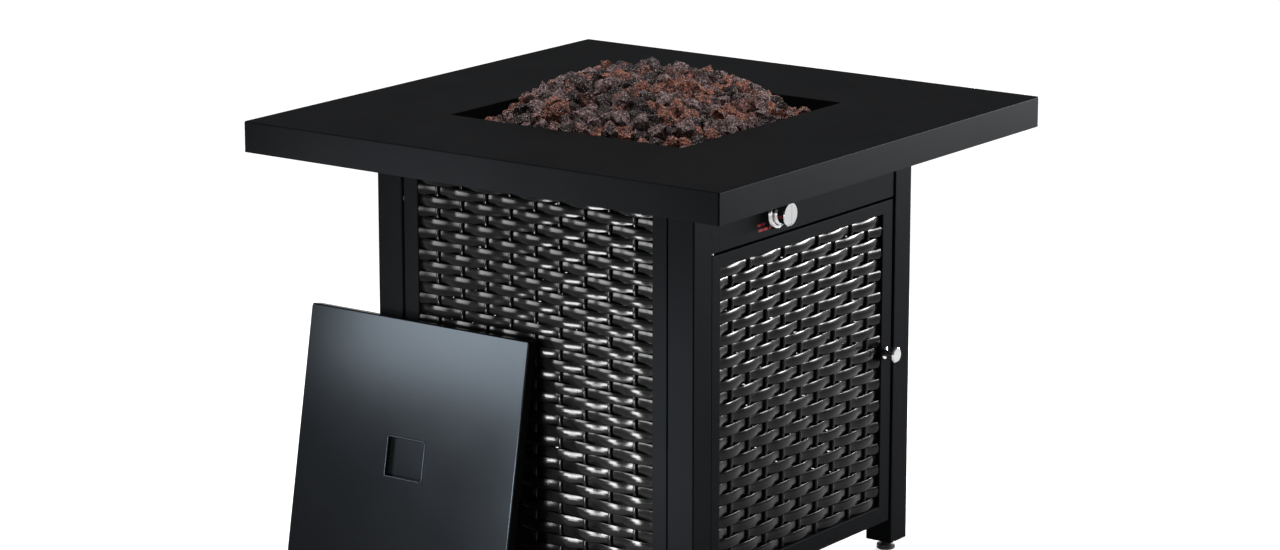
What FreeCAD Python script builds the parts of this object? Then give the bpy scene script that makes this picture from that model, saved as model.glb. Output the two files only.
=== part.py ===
import FreeCAD, Part
import math
import operator
import os
import Sketcher
from FreeCAD import Placement, Rotation, Vector

# Gas fire pit table with a woven base, a door for the gas bottle and a lid that leans on its left side.
# Millimetres and degrees. Z is up from the floor, the door faces -Y and the top's middle is at X = Y = 0.

SIZES = {
    # Folded steel top
    "top_side": 711.2,
    "top_height": 588.0,
    "apron_depth": 39.0,
    "top_gauge": 1.5,
    "top_bend": 2.0,
    "hem_width": 18.0,
    "recess_side": 350.0,
    "recess_depth": 17.0,
    "recess_bend": 1.0,
    "ledge_width": 8.0,
    "stiffener_height": 12.0,
    "stiffener_length": 690.0,
    "bolt_radius": 3.0,
    "bolt_head": 4.0,
    "bolt_end": 1.0,
    "bolt_spread": 110.0,
    # Base frame
    "base_side": 480.0,
    "post_width": 38.0,
    "post_gauge": 1.5,
    "post_corner": 2.0,
    "post_lift": 14.0,
    "rail_height": 25.0,
    "rail_leg": 30.0,
    "rail_gauge": 1.5,
    # Fixed panels and the strip above the door
    "panel_recess": 2.0,
    "panel_seam": 2.0,
    "panel_lift": 45.0,
    "frame_depth": 16.0,
    "frame_gauge": 1.5,
    "frame_bend": 1.5,
    "side_stile": 22.0,
    "side_rail": 24.0,
    "strip_height": 103.5,
    "strip_gauge": 1.5,
    "strip_return": 14.0,
    "screw_radius": 2.5,
    "screw_head": 3.0,
    "screw_end": 3.0,
    "screw_inset": 60.0,
    "washer_radius": 6.0,
    # Woven skins
    "strand_pitch": 14.0,
    "strand_bulge": 6.0,
    "strand_neck": 2.0,
    "weave_depth": 4.2,
    # Door
    "door_gap": 3.0,
    "hinge_stile": 19.0,
    "lock_stile": 23.5,
    "door_top_rail": 17.0,
    "door_bottom_rail": 23.0,
    "pin_radius": 2.5,
    "pin_inset": 7.0,
    "pin_setback": 5.0,
    "pin_overlap": 18.0,
    "hinge_cap": 2.0,
    "hinge_setback": 2.0,
    "bracket_gauge": 2.0,
    "bracket_drop": 1.0,
    "bracket_width": 19.0,
    "bracket_height": 20.0,
    "door_knob_inset": 15.0,
    "door_knob_rise": 225.0,
    "door_knob_reach": 19.0,
    "door_knob_radius": 10.0,
    "door_screw_radius": 2.0,
    "strike_height": 40.0,
    "strike_gauge": 1.5,
    "magnet_width": 18.0,
    "magnet_depth": 14.0,
    "magnet_height": 32.0,
    # Cabinet floor
    "tray_gauge": 1.5,
    "tray_lip": 15.0,
    "tray_setback": 3.0,
    "vent_radius": 14.0,
    "vent_spread": 150.0,
    "ring_radius": 107.0,
    "ring_gauge": 1.5,
    "ring_height": 28.0,
    "bottle_back": 20.0,
    "wing_radius": 4.0,
    "wing_length": 22.0,
    "wing_span": 28.0,
    "wing_depth": 10.0,
    "wing_gauge": 3.0,
    "wing_nut_depth": 8.5,
    # Feet
    "foot_radius": 12.0,
    "foot_height": 9.0,
    "foot_neck": 7.0,
    "foot_edge": 1.0,
    "foot_slope": 3.0,
    "stud_radius": 4.0,
    "stud_length": 27.0,
    "plug_height": 16.0,
    # Burner pan and heat shield
    "pan_play": 2.0,
    "pan_depth": 53.0,
    "pan_gauge": 1.2,
    "pan_corner": 12.0,
    "lip_play": 2.0,
    "drain_radius": 4.0,
    "drain_inset": 22.0,
    "shield_margin": 20.0,
    "shield_clearance": 27.0,
    "shield_gauge": 1.0,
    "shield_drop": 9.3,
    "shield_inset": 18.0,
    "shield_stud_radius": 4.0,
    "shield_screw_radius": 2.0,
    "shield_head": 2.0,
    # Burner
    "burner_radius": 95.0,
    "burner_tube": 7.0,
    "burner_wall": 1.0,
    "burner_rise": 14.0,
    "burner_leg": 4.0,
    "port_radius": 1.2,
    "port_count": 24,
    "leg_count": 4,
    "mixer_inset": 30.0,
    "mixer_drop": 40.0,
    "mixer_radius": 10.0,
    "mixer_neck": 8.0,
    "mixer_chamber": 5.0,
    "jet_radius": 1.0,
    "jet_length": 5.0,
    "stub_drop": 12.0,
    "socket_lip": 4.0,
    "air_hole": 4.0,
    # Flame sensing and ignition
    "hood_across": 45.0,
    "hood_setback": 13.0,
    "hood_width": 44.0,
    "hood_depth": 24.0,
    "hood_height": 34.0,
    "hood_gauge": 1.2,
    "hood_slot": 3.0,
    "sensor_spread": 8.0,
    "electrode_radius": 3.0,
    "electrode_tip": 6.0,
    "sensor_radius": 2.5,
    "sensor_drop": 12.0,
    "sensor_rise": 26.0,
    "collar_radius": 5.0,
    "collar_height": 4.0,
    # Lava rocks
    "heap_rise": 49.0,
    "heap_drop": 7.0,
    "heap_play": 1.0,
    "heap_roundness": 0.18,
    "heap_fullness": 3.2,
    "stone_rows": 14,
    "stone_gap": 11.0,
    "stone_shift": 3.0,
    "stone_bump": 3.5,
    "burner_cover": 0.5,
    # Gas control
    "knob_across": 65.0,
    "knob_rise": 27.0,
    "valve_width": 30.0,
    "valve_length": 48.0,
    "valve_tall": 28.0,
    "valve_setback": 10.5,
    "neck_radius": 9.5,
    "neck_play": 0.4,
    "neck_reach": 3.0,
    "shoulder_radius": 13.0,
    "shoulder_depth": 2.0,
    "nut_radius": 14.0,
    "stem_radius": 4.0,
    "stem_push": 3.0,
    "stem_tail": 3.0,
    "cavity_radius": 8.2,
    "cavity_length": 14.0,
    "collar_length": 3.0,
    "spring_wire": 0.6,
    "spring_turns": 4,
    "inlet_radius": 7.94,
    "inlet_length": 14.0,
    "inlet_boss": 3.0,
    "outlet_drop": 6.0,
    "bezel_radius": 20.0,
    "bezel_bore": 15.5,
    "bezel_depth": 6.0,
    "knob_radius": 14.75,
    "knob_reach": 22.0,
    "knob_stand": 7.0,
    "knob_cap": 3.0,
    "knob_waist": 2.2,
    "grip_width": 6.0,
    "grip_depth": 0.8,
    "igniter_radius": 7.5,
    "igniter_length": 22.0,
    "igniter_terminal": 4.0,
    "gas_tube": 4.0,
    "line_drop": 44.0,
    "lead_radius": 1.5,
    # Lid
    "lid_play": 3.0,
    "lid_depth": 15.0,
    "lid_gauge": 1.2,
    "lid_bend": 2.0,
    "lid_corner": 3.0,
    "lid_lean": 10.5,
    "lid_shift": 165.0,
    "lid_gap": 0.3,
    "pocket_width": 59.0,
    "pocket_height": 51.0,
    "pocket_depth": 8.0,
    "pocket_flange": 6.0,
    # Clearances
    "running_fit": 0.05,
    "body_gap": 0.3,
    "hole_play": 0.2,
}

X_AXIS = Vector(1, 0, 0)
Y_AXIS = Vector(0, 1, 0)
Z_AXIS = Vector(0, 0, 1)
OUTWARD = Vector(0, -1, 0)
EVERY_CORNER = [(across, back) for across in (-1, 1) for back in (-1, 1)]
OVERCUT = 1  # how far a cutter runs past what it cuts
HEAD_SHARE = 1.8  # a screw head's or a nut's radius over its thread's

doc = FreeCAD.newDocument("FirePitTable")
parts = []


def filled_sheet():
    """The spreadsheet of driving sizes, one named cell in each row."""
    cells = doc.addObject("Spreadsheet::Sheet", "Sizes")
    for row, (name, number) in enumerate(SIZES.items(), start=1):
        cells.set(f"A{row}", name)
        cells.set(f"B{row}", str(number))
        cells.setAlias(f"B{row}", name)
    doc.recompute()
    return cells


class Size:
    """A number together with the sheet formula that gives it."""

    def __init__(self, value, formula):
        self.value = value
        self.formula = formula

    def __add__(self, other):
        return joined(self, "+", other)

    def __radd__(self, other):
        return joined(other, "+", self)

    def __sub__(self, other):
        return joined(self, "-", other)

    def __rsub__(self, other):
        return joined(other, "-", self)

    def __mul__(self, other):
        return joined(self, "*", other)

    def __rmul__(self, other):
        return joined(other, "*", self)

    def __truediv__(self, other):
        return joined(self, "/", other)

    def __neg__(self):
        return joined(0, "-", self)


OPERATIONS = {"+": operator.add, "-": operator.sub, "*": operator.mul, "/": operator.truediv}


def value_of(size):
    return size.value if isinstance(size, Size) else size


def formula_of(size):
    return size.formula if isinstance(size, Size) else str(size)


def joined(left, sign, right):
    value = OPERATIONS[sign](value_of(left), value_of(right))
    return Size(value, f"({formula_of(left)} {sign} {formula_of(right)})")


def sine(angle):
    return Size(math.sin(math.radians(angle.value)), f"sin({angle.formula} * 1 deg)")


def cosine(angle):
    return Size(math.cos(math.radians(angle.value)), f"cos({angle.formula} * 1 deg)")


sheet = filled_sheet()


class Sizes:
    """Every cell of the sheet as a Size, under the cell's own name."""

    def __getattr__(self, name):
        return Size(float(getattr(sheet, name)), f"Sizes.{name}")


s = Sizes()

# Planes and levels that several pieces share
half_top = s.top_side / 2
half_base = s.base_side / 2
top_underside = s.top_height - s.top_gauge
post_middle = half_base - s.post_width / 2
post_inner = half_base - s.post_width
post_top = top_underside - s.stiffener_height
frame_top = post_top - s.rail_height
panel_face = half_base - s.panel_recess
panel_back = panel_face - s.frame_depth
half_panel = post_inner - s.panel_seam
rail_face = panel_face - s.strip_gauge
ledge_top = s.top_height - s.recess_depth
pan_half = s.recess_side / 2 - s.ledge_width - s.pan_play
pan_bottom = ledge_top - s.pan_depth
pan_floor = pan_bottom + s.pan_gauge
burner_level = pan_floor + s.burner_rise
shield_top = pan_bottom - s.shield_drop
strip_bottom = post_top - s.strip_height
knob_height = strip_bottom + s.knob_rise
door_top = strip_bottom - s.door_gap
door_knob_height = s.panel_lift + s.door_knob_rise
mixer_back = pan_half - s.mixer_inset
mixer_bottom = pan_bottom - s.mixer_drop
shield_half = pan_half - s.shield_margin
shield_front = mixer_back - s.shield_clearance
pin_across = s.pin_inset - half_panel
pin_front = s.pin_setback - panel_face
door_knob_across = half_panel - s.door_knob_inset
screw_level = s.panel_lift + s.ring_height / 2
valve_front = s.valve_setback - panel_face
valve_back = valve_front + s.valve_length
valve_base = knob_height - s.valve_tall / 2
neck_front = -panel_face - s.neck_reach
cavity_front = valve_front + 2
cavity_back = cavity_front + s.cavity_length
spring_front = cavity_front + s.body_gap + s.collar_length
hood_middle = (s.hood_across, s.hood_setback - mixer_back)
lid_side = s.recess_side - 2 * s.lid_play


def bind(thing, prop, size):
    """Ties a property to the sheet by a size's formula."""
    thing.setExpression(prop, formula_of(size))


def place(thing, *point):
    """Ties an object's place to three sizes."""
    for axis, size in zip("xyz", point):
        bind(thing, f"Placement.Base.{axis}", size)
    return thing


def keep(thing, name):
    """Names a finished sub-part and puts it on the list to be written."""
    thing.Label = name
    parts.append(thing)
    return thing


def block(name, across, back, up):
    """A box between a low and a high size along X, Y and Z."""
    box = doc.addObject("Part::Box", name)
    for prop, (low, high) in zip(("Length", "Width", "Height"), (across, back, up)):
        bind(box, prop, high - low)
    return place(box, across[0], back[0], up[0])


def rod(name, radius, start, direction, length):
    """A round bar from a start point along a direction."""
    bar = doc.addObject("Part::Cylinder", name)
    bar.Placement.Rotation = Rotation(Z_AXIS, direction)
    bind(bar, "Radius", radius)
    bind(bar, "Height", length)
    return place(bar, *start)


def drill(name, radius, start, direction, wall):
    """A cutter for a round hole through a wall that starts at a point."""
    begin = [size if not part else size - part * OVERCUT for size, part in zip(start, direction)]
    return rod(name, radius, begin, direction, wall + 2 * OVERCUT)


def hexagon(name, radius, start, direction, length):
    """A six-sided bar from a start point along a direction."""
    bar = doc.addObject("Part::Prism", name)
    bar.Placement.Rotation = Rotation(Z_AXIS, direction)
    bar.Polygon = 6
    bind(bar, "Circumradius", radius)
    bind(bar, "Height", length)
    return place(bar, *start)


def fuse(name, *pieces):
    joint = doc.addObject("Part::MultiFuse", name)
    joint.Shapes = list(pieces)
    return joint


def group(name, *pieces):
    """Separate solids held as one object."""
    bundle = doc.addObject("Part::Compound", name)
    bundle.Links = list(pieces)
    return bundle


def cut(name, base, *tools):
    result = doc.addObject("Part::Cut", name)
    result.Base = base
    result.Tool = tools[0] if len(tools) == 1 else group(f"{name}_tools", *tools)
    return result


def turned(thing, quarters):
    """Turns a piece made for the front face to another face."""
    thing.Placement = Placement(Vector(), Rotation(Z_AXIS, 90 * quarters))
    return thing


def new_body(name):
    return doc.addObject("PartDesign::Body", name)


def sketch(body, name, role, level=0):
    """A sketch on one of the body's own planes, moved along the plane's normal by level."""
    drawing = body.newObject("Sketcher::SketchObject", name)
    plane = [feature for feature in body.Origin.OriginFeatures if feature.Role == role][0]
    drawing.AttachmentSupport = [(plane, "")]
    drawing.MapMode = "FlatFace"
    bind(drawing, "AttachmentOffset.Base.z", level)
    return drawing


def hold(drawing, line, corner):
    """Holds the start of a line at two sizes from the sketch's origin."""
    for kind, size, axis in zip(("DistanceX", "DistanceY"), corner, (-2, -1)):
        if value_of(size) == 0:
            drawing.addConstraint(Sketcher.Constraint("PointOnObject", line, 1, axis))
        else:
            distance = Sketcher.Constraint(kind, -1, 1, line, 1, value_of(size))
            index = drawing.addConstraint(distance)
            bind(drawing, f"Constraints[{index}]", size)


def outline(drawing, corners):
    """A closed run of straight lines with each corner held by two sizes."""
    first = drawing.GeometryCount
    points = [Vector(value_of(across), value_of(up), 0) for across, up in corners]
    count = len(points)
    for index, point in enumerate(points):
        drawing.addGeometry(Part.LineSegment(point, points[(index + 1) % count]), False)
    for index in range(count):
        following = first + (index + 1) % count
        drawing.addConstraint(Sketcher.Constraint("Coincident", first + index, 2, following, 1))
    for index, corner in enumerate(corners):
        hold(drawing, first + index, corner)


def rectangle(drawing, across, up):
    (left, right), (low, high) = across, up
    outline(drawing, [(left, low), (right, low), (right, high), (left, high)])


def square(drawing, half, middle=(0, 0)):
    rectangle(drawing, (middle[0] - half, middle[0] + half), (middle[1] - half, middle[1] + half))


def pad(body, drawing, length, name):
    feature = body.newObject("PartDesign::Pad", name)
    feature.Profile = drawing
    bind(feature, "Length", length)
    doc.recompute()
    return feature


def pocket(body, drawing, depth, name, reversed_cut=False):
    feature = body.newObject("PartDesign::Pocket", name)
    feature.Profile = drawing
    feature.Reversed = reversed_cut
    bind(feature, "Length", depth)
    doc.recompute()
    return feature


def fillet(body, base, radius, name, wanted):
    """Rounds the edges of a feature that pass a test."""
    numbers = [index for index, edge in enumerate(base.Shape.Edges, start=1) if wanted(edge)]
    feature = body.newObject("PartDesign::Fillet", name)
    feature.Base = (base, [f"Edge{number}" for number in numbers])
    bind(feature, "Radius", radius)
    doc.recompute()
    return feature


def is_upright(edge):
    box = edge.BoundBox
    return box.XLength < 1e-6 and box.YLength < 1e-6


def lies_at(edge, axis, level):
    """Whether an edge lies wholly at one level along Y or Z."""
    box = edge.BoundBox
    ends = (box.YMin, box.YMax) if axis == "y" else (box.ZMin, box.ZMax)
    return all(abs(end - level) < 1e-6 for end in ends)


def turning(body, name, corners):
    """A turned piece: an outline of (radius, height) corners spun about the body's upright axis."""
    drawing = sketch(body, f"{name}_profile", "XZ_Plane")
    outline(drawing, corners)
    feature = body.newObject("PartDesign::Revolution", f"{name}_turning")
    feature.Profile = drawing
    feature.ReferenceAxis = (drawing, ["V_Axis"])
    feature.Angle = 360
    doc.recompute()
    return feature


def add_table_top():
    """Folded tray: skin, apron, inward hem and a stepped recess round the burner opening."""
    body = new_body("top_body")
    place(body, 0, 0, s.top_height - s.apron_depth)
    skin_underside = s.apron_depth - s.top_gauge
    ledge_level = s.apron_depth - s.recess_depth
    half_recess = s.recess_side / 2
    half_opening = half_recess - s.ledge_width

    outer = sketch(body, "top_outline", "XY_Plane")
    square(outer, half_top)
    tray = pad(body, outer, s.apron_depth, "top_blank")
    tray = fillet(body, tray, s.top_bend, "top_rounding",
                  lambda edge: is_upright(edge) or lies_at(edge, "z", value_of(s.apron_depth)))
    inside = sketch(body, "top_inside", "XY_Plane")
    square(inside, half_top - s.top_gauge)
    pocket(body, inside, skin_underside, "top_hollow", reversed_cut=True)
    hem = sketch(body, "hem_outline", "XY_Plane")
    square(hem, half_top - s.top_gauge)
    square(hem, half_top - s.hem_width)
    pad(body, hem, s.top_gauge, "top_hem")
    collar = sketch(body, "recess_outline", "XY_Plane", ledge_level - s.top_gauge)
    square(collar, half_recess + s.top_gauge)
    square(collar, half_opening)
    pad(body, collar, s.recess_depth, "recess_wall")
    well = sketch(body, "recess_well", "XY_Plane", ledge_level)
    square(well, half_recess)
    pocket(body, well, s.recess_depth, "recess_cut", reversed_cut=True)
    through = sketch(body, "opening_outline", "XY_Plane")
    square(through, half_opening)
    tray = pocket(body, through, s.apron_depth, "opening_cut", reversed_cut=True)
    rim = value_of(half_recess) + 1
    fillet(body, tray, s.recess_bend, "recess_rounding",
           lambda edge: lies_at(edge, "z", value_of(s.apron_depth)) and edge.BoundBox.XMax < rim
           and edge.BoundBox.XMin > -rim and edge.BoundBox.YMax < rim and edge.BoundBox.YMin > -rim)
    keep(body, "table_top")


def add_stiffeners():
    """Two hat channels under the top, over the posts of the front and the back."""
    reach = s.stiffener_length / 2
    gauge = s.top_gauge
    channels = []
    for side in (-1, 1):
        middle = side * post_middle
        low, high = middle - s.post_width / 2, middle + s.post_width / 2
        whole = block("stiffener_blank", (-reach, reach), (low, high), (post_top, top_underside))
        hollow = block("stiffener_hollow", (-reach - OVERCUT, reach + OVERCUT), (low + gauge, high - gauge),
                       (post_top + gauge, top_underside + OVERCUT))
        holes = [drill("stiffener_hole", s.bolt_radius + s.hole_play,
                       (end * s.bolt_spread, middle, post_top), Z_AXIS, gauge) for end in (-1, 1)]
        channels.append(cut("stiffener", whole, hollow, *holes))
    keep(group("stiffeners", *channels), "top_stiffeners")


def add_top_bolts():
    """Hexagon bolts up through the rails into the stiffeners, each with its nut."""
    pieces = []
    across_corners = s.bolt_radius * HEAD_SHARE
    head_bottom = post_top - s.rail_gauge - s.bolt_head
    nut_bottom = post_top + s.top_gauge
    length = nut_bottom + s.bolt_head + s.bolt_end - head_bottom
    for across, back in EVERY_CORNER:
        here = (across * s.bolt_spread, back * post_middle)
        head = hexagon("bolt_head_piece", across_corners, (*here, head_bottom), Z_AXIS, s.bolt_head)
        shank = rod("bolt_shank", s.bolt_radius, (*here, head_bottom), Z_AXIS, length)
        pieces.append(fuse("bolt", head, shank))
        nut = hexagon("nut_blank", across_corners, (*here, nut_bottom), Z_AXIS, s.bolt_head)
        bore = drill("nut_bore", s.bolt_radius + s.running_fit, (*here, nut_bottom), Z_AXIS, s.bolt_head)
        pieces.append(cut("nut", nut, bore))
    keep(group("top_fasteners", *pieces), "top_bolts")


def frame_screw_levels():
    """The heights of the screws that hold the fixed frames."""
    return (s.panel_lift + s.screw_inset, frame_top - s.screw_inset)


POST_NAMES = {(-1, -1): "front_left", (1, -1): "front_right", (-1, 1): "back_left", (1, 1): "back_right"}
FRAME_TURNS = {"left": -1, "back": 2, "right": 1}


def add_posts():
    """Square tubes, drilled where the fixed frames are screwed to them."""
    middle = (panel_face + panel_back) / 2
    radius = s.screw_radius + s.hole_play
    for (across, back), name in POST_NAMES.items():
        body = new_body(f"post_{name}")
        place(body, across * post_middle, back * post_middle, s.post_lift)
        outer = sketch(body, "post_outline", "XY_Plane")
        square(outer, s.post_width / 2)
        tube = pad(body, outer, post_top - s.post_lift, "post_blank")
        fillet(body, tube, s.post_corner, "post_rounding", is_upright)
        inner = sketch(body, "post_inside", "XY_Plane")
        square(inner, s.post_width / 2 - s.post_gauge)
        pocket(body, inner, post_top - s.post_lift, "post_hollow", reversed_cut=True)
        holes = [drill("side_hole", radius, (across * middle, back * post_inner, level), back * Y_AXIS,
                       s.post_gauge) for level in frame_screw_levels()]
        if back > 0:
            holes += [drill("back_hole", radius, (across * post_inner, back * middle, level),
                            across * X_AXIS, s.post_gauge) for level in frame_screw_levels()]
        keep(cut(f"drilled_post_{name}", body, *holes), f"corner_post_{name}")


def add_top_rails():
    """Angle rails between the posts: an upright leg outside and a flat leg under the stiffeners."""
    gauge = s.rail_gauge
    rail_back = s.rail_leg - rail_face
    for name, quarters in {"front": 0, **FRAME_TURNS}.items():
        whole = block("rail_blank", (-post_inner, post_inner), (-rail_face, rail_back),
                      (frame_top, post_top))
        hollow = block("rail_hollow", (-post_inner - OVERCUT, post_inner + OVERCUT),
                       (gauge - rail_face, rail_back + OVERCUT), (frame_top - OVERCUT, post_top - gauge))
        bolted_ends = (-1, 1) if name in ("front", "back") else ()
        holes = [drill("rail_hole", s.bolt_radius + s.hole_play,
                       (end * s.bolt_spread, -post_middle, post_top - gauge), Z_AXIS, gauge)
                 for end in bolted_ends]
        keep(turned(cut(f"rail_{name}", whole, hollow, *holes), quarters), f"top_rail_{name}")


def folded_frame(name, across, opening_across, up, opening_up):
    """A channel-section frame round an opening, closed at the front and open at the back."""
    body = new_body(name)
    gauge = s.frame_gauge
    face = sketch(body, "frame_outline", "XZ_Plane", panel_back)
    rectangle(face, across, up)
    rectangle(face, opening_across, opening_up)
    ring = pad(body, face, s.frame_depth, "frame_blank")
    front = -value_of(panel_face)
    fillet(body, ring, s.frame_bend, "frame_rounding", lambda edge: lies_at(edge, "y", front))
    channel = sketch(body, "frame_channel", "XZ_Plane", panel_back)
    rectangle(channel, (across[0] + gauge, across[1] - gauge), (up[0] + gauge, up[1] - gauge))
    rectangle(channel, (opening_across[0] - gauge, opening_across[1] + gauge),
              (opening_up[0] - gauge, opening_up[1] + gauge))
    pocket(body, channel, s.frame_depth - gauge, "frame_hollow", reversed_cut=True)
    return body


def woven_panel(name, across, up, quarters=0):
    """A woven skin as one solid: rows of flat strands that swell in the middle and thin where they meet."""
    low, high = value_of(up[0]), value_of(up[1])
    rows = round((high - low) / sheet.strand_pitch)
    pitch = (high - low) / rows
    middle = value_of(s.weave_depth - panel_face)
    neck, bulge = sheet.strand_neck / 2, sheet.strand_bulge / 2
    front = []
    for row in range(rows):
        bottom = low + row * pitch
        front += [(neck, bottom), (bulge, bottom + 0.3 * pitch), (bulge, bottom + 0.7 * pitch)]
    front.append((neck, high))
    left = value_of(across[0])
    section = [Vector(left, middle - depth, level) for depth, level in front]
    section += [Vector(left, middle + depth, level) for depth, level in reversed(front)]
    face = Part.Face(Part.makePolygon(section + section[:1]))
    panel = doc.addObject("Part::Feature", name)
    panel.Shape = face.extrude(Vector(value_of(across[1]) - left, 0, 0))
    turned(panel, quarters)
    keep(panel, name)


def add_fixed_panels():
    """The three fixed frames with their woven skins."""
    across = (-half_panel, half_panel)
    up = (s.panel_lift, frame_top)
    opening_across = (s.side_stile - half_panel, half_panel - s.side_stile)
    opening_up = (s.panel_lift + s.side_rail, frame_top - s.side_rail)
    depth = -(panel_face + panel_back) / 2
    for name, quarters in FRAME_TURNS.items():
        frame = folded_frame(f"folded_{name}", across, opening_across, up, opening_up)
        holes = [drill("frame_hole", s.screw_radius + s.hole_play,
                       (side * (half_panel - s.frame_gauge), depth, level), side * X_AXIS, s.frame_gauge)
                 for side in (-1, 1) for level in frame_screw_levels()]
        keep(turned(cut(f"drilled_{name}", frame, *holes), quarters), f"side_frame_{name}")
        woven_panel(f"wicker_{name}", opening_across, opening_up, quarters)


def add_frame_screws():
    """Screws from inside the frames into the posts, each with a spacer washer in the seam."""
    depth = -(panel_face + panel_back) / 2
    head_start = half_panel - s.frame_gauge - s.screw_head
    length = s.screw_head + s.frame_gauge + s.panel_seam + s.post_gauge + s.screw_end
    pieces = []
    for quarters in FRAME_TURNS.values():
        fasteners = []
        for side in (-1, 1):
            outward = side * X_AXIS
            for level in frame_screw_levels():
                start = (side * head_start, depth, level)
                seam = (side * half_panel, depth, level)
                head = rod("screw_head_piece", s.screw_radius * HEAD_SHARE, start, outward, s.screw_head)
                fasteners.append(fuse("frame_screw", head,
                                      rod("screw_shank", s.screw_radius, start, outward, length)))
                disc = rod("washer_disc", s.washer_radius, seam, outward, s.panel_seam)
                bore = drill("washer_bore", s.screw_radius + s.hole_play, seam, outward, s.panel_seam)
                fasteners.append(cut("seam_washer", disc, bore))
        pieces.append(turned(group("face_screws", *fasteners), quarters))
    keep(group("screw_set", *pieces), "frame_screws")


def add_control_panel():
    """The plain strip above the door, with its valve hole and the top hinge hole."""
    gauge = s.strip_gauge
    back = s.strip_return - panel_face
    whole = block("strip_blank", (-half_panel, half_panel), (-panel_face, back), (strip_bottom, post_top))
    hollow = block("strip_hollow", (gauge - half_panel, half_panel - gauge), (-rail_face, back + OVERCUT),
                   (strip_bottom + gauge, frame_top))
    relief = block("strip_relief", (-half_panel - OVERCUT, half_panel + OVERCUT),
                   (-rail_face, back + OVERCUT), (frame_top, post_top + OVERCUT))
    valve_hole = drill("valve_hole", s.neck_radius + s.neck_play, (-s.knob_across, -panel_face, knob_height),
                       Y_AXIS, gauge)
    pin_hole = drill("pin_hole", s.pin_radius + s.running_fit, (pin_across, pin_front, strip_bottom), Z_AXIS,
                     gauge)
    keep(cut("strip", whole, fuse("strip_clear", hollow, relief), valve_hole, pin_hole), "control_panel")


def add_door():
    """The door's frame, bored for its two pins and its knob, with its woven skin."""
    gauge = s.frame_gauge
    opening_across = (s.hinge_stile - half_panel, half_panel - s.lock_stile)
    opening_up = (s.panel_lift + s.door_bottom_rail, door_top - s.door_top_rail)
    frame = folded_frame("folded_door", (-half_panel, half_panel), opening_across, (s.panel_lift, door_top),
                         opening_up)
    radius = s.pin_radius + s.running_fit
    top_hole = drill("door_top_hole", radius, (pin_across, pin_front, door_top - gauge), Z_AXIS, gauge)
    low_hole = drill("door_low_hole", radius, (pin_across, pin_front, s.panel_lift), Z_AXIS, gauge)
    knob_hole = drill("knob_screw_hole", s.door_screw_radius + s.hole_play,
                      (door_knob_across, -panel_face, door_knob_height), Y_AXIS, gauge)
    keep(cut("drilled_door", frame, top_hole, low_hole, knob_hole), "door_frame")
    woven_panel("door_wicker", opening_across, opening_up)


def add_hinges():
    """Blocks in the door's channel, a fixed top pin, and a bracket under the door with the bottom pin."""
    gauge = s.frame_gauge
    across = (gauge - half_panel, s.hinge_stile - half_panel - gauge)
    depth = (gauge - panel_face, -panel_back - s.hinge_setback)
    tall = s.pin_overlap + s.hinge_cap
    radius = s.pin_radius + s.running_fit
    blocks = []
    for low in (s.panel_lift + gauge, door_top - gauge - tall):
        whole = block("hinge_blank", across, depth, (low, low + tall))
        bore = drill("hinge_bore", radius, (pin_across, pin_front, low), Z_AXIS, tall)
        blocks.append(cut("hinge_block", whole, bore))
    keep(group("hinge_block_pair", *blocks), "hinge_blocks")

    pin_low = door_top - gauge - s.pin_overlap
    pin_high = strip_bottom + s.strip_gauge + s.hinge_cap
    top_pin = rod("top_pin", s.pin_radius, (pin_across, pin_front, pin_low), Z_AXIS, pin_high - pin_low)
    keep(top_pin, "hinge_pin")

    plate_top = s.panel_lift - s.bracket_drop
    depth = (-panel_face, -panel_back - s.hinge_setback)
    flat = block("bracket_flat", (-post_inner, s.bracket_width - post_inner), depth,
                 (plate_top - s.bracket_gauge, plate_top))
    upright = block("bracket_upright", (-post_inner, s.bracket_gauge - post_inner), depth,
                    (plate_top - s.bracket_height, plate_top))
    pin_foot = (pin_across, pin_front, plate_top)
    thrust = rod("bracket_thrust", s.pin_radius * HEAD_SHARE, pin_foot, Z_AXIS, s.bracket_drop - s.body_gap)
    stub = rod("bracket_pin", s.pin_radius, pin_foot, Z_AXIS, s.bracket_drop + gauge + s.pin_overlap)
    keep(fuse("bracket", flat, upright, thrust, stub), "hinge_bracket")


def add_door_knob():
    """A turned knob held by a screw from inside the door."""
    body = new_body("door_knob_body")
    radius = s.door_knob_radius
    reach = s.door_knob_reach
    bore = s.door_screw_radius + s.running_fit
    bore_end = reach * 0.6
    turning(body, "door_knob", [
        (bore, 0), (radius * 0.75, 0), (radius * 0.75, reach * 0.08), (radius * 0.45, reach * 0.16),
        (radius * 0.45, reach * 0.5), (radius, reach * 0.62), (radius, reach * 0.9), (radius * 0.85, reach),
        (0, reach), (0, bore_end), (bore, bore_end)])
    body.Placement = Placement(Vector(), Rotation(Z_AXIS, OUTWARD))
    place(body, door_knob_across, -panel_face, door_knob_height)
    keep(body, "door_knob")

    head_front = s.frame_gauge - panel_face
    head_back = head_front + s.screw_head
    head = rod("knob_screw_head", s.door_screw_radius * HEAD_SHARE,
               (door_knob_across, head_front, door_knob_height), Y_AXIS, s.screw_head)
    shank = rod("knob_screw_shank", s.door_screw_radius, (door_knob_across, head_back, door_knob_height),
                OUTWARD, s.screw_head + s.frame_gauge + reach * 0.5)
    keep(fuse("knob_screw", head, shank), "door_knob_screw")


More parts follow.
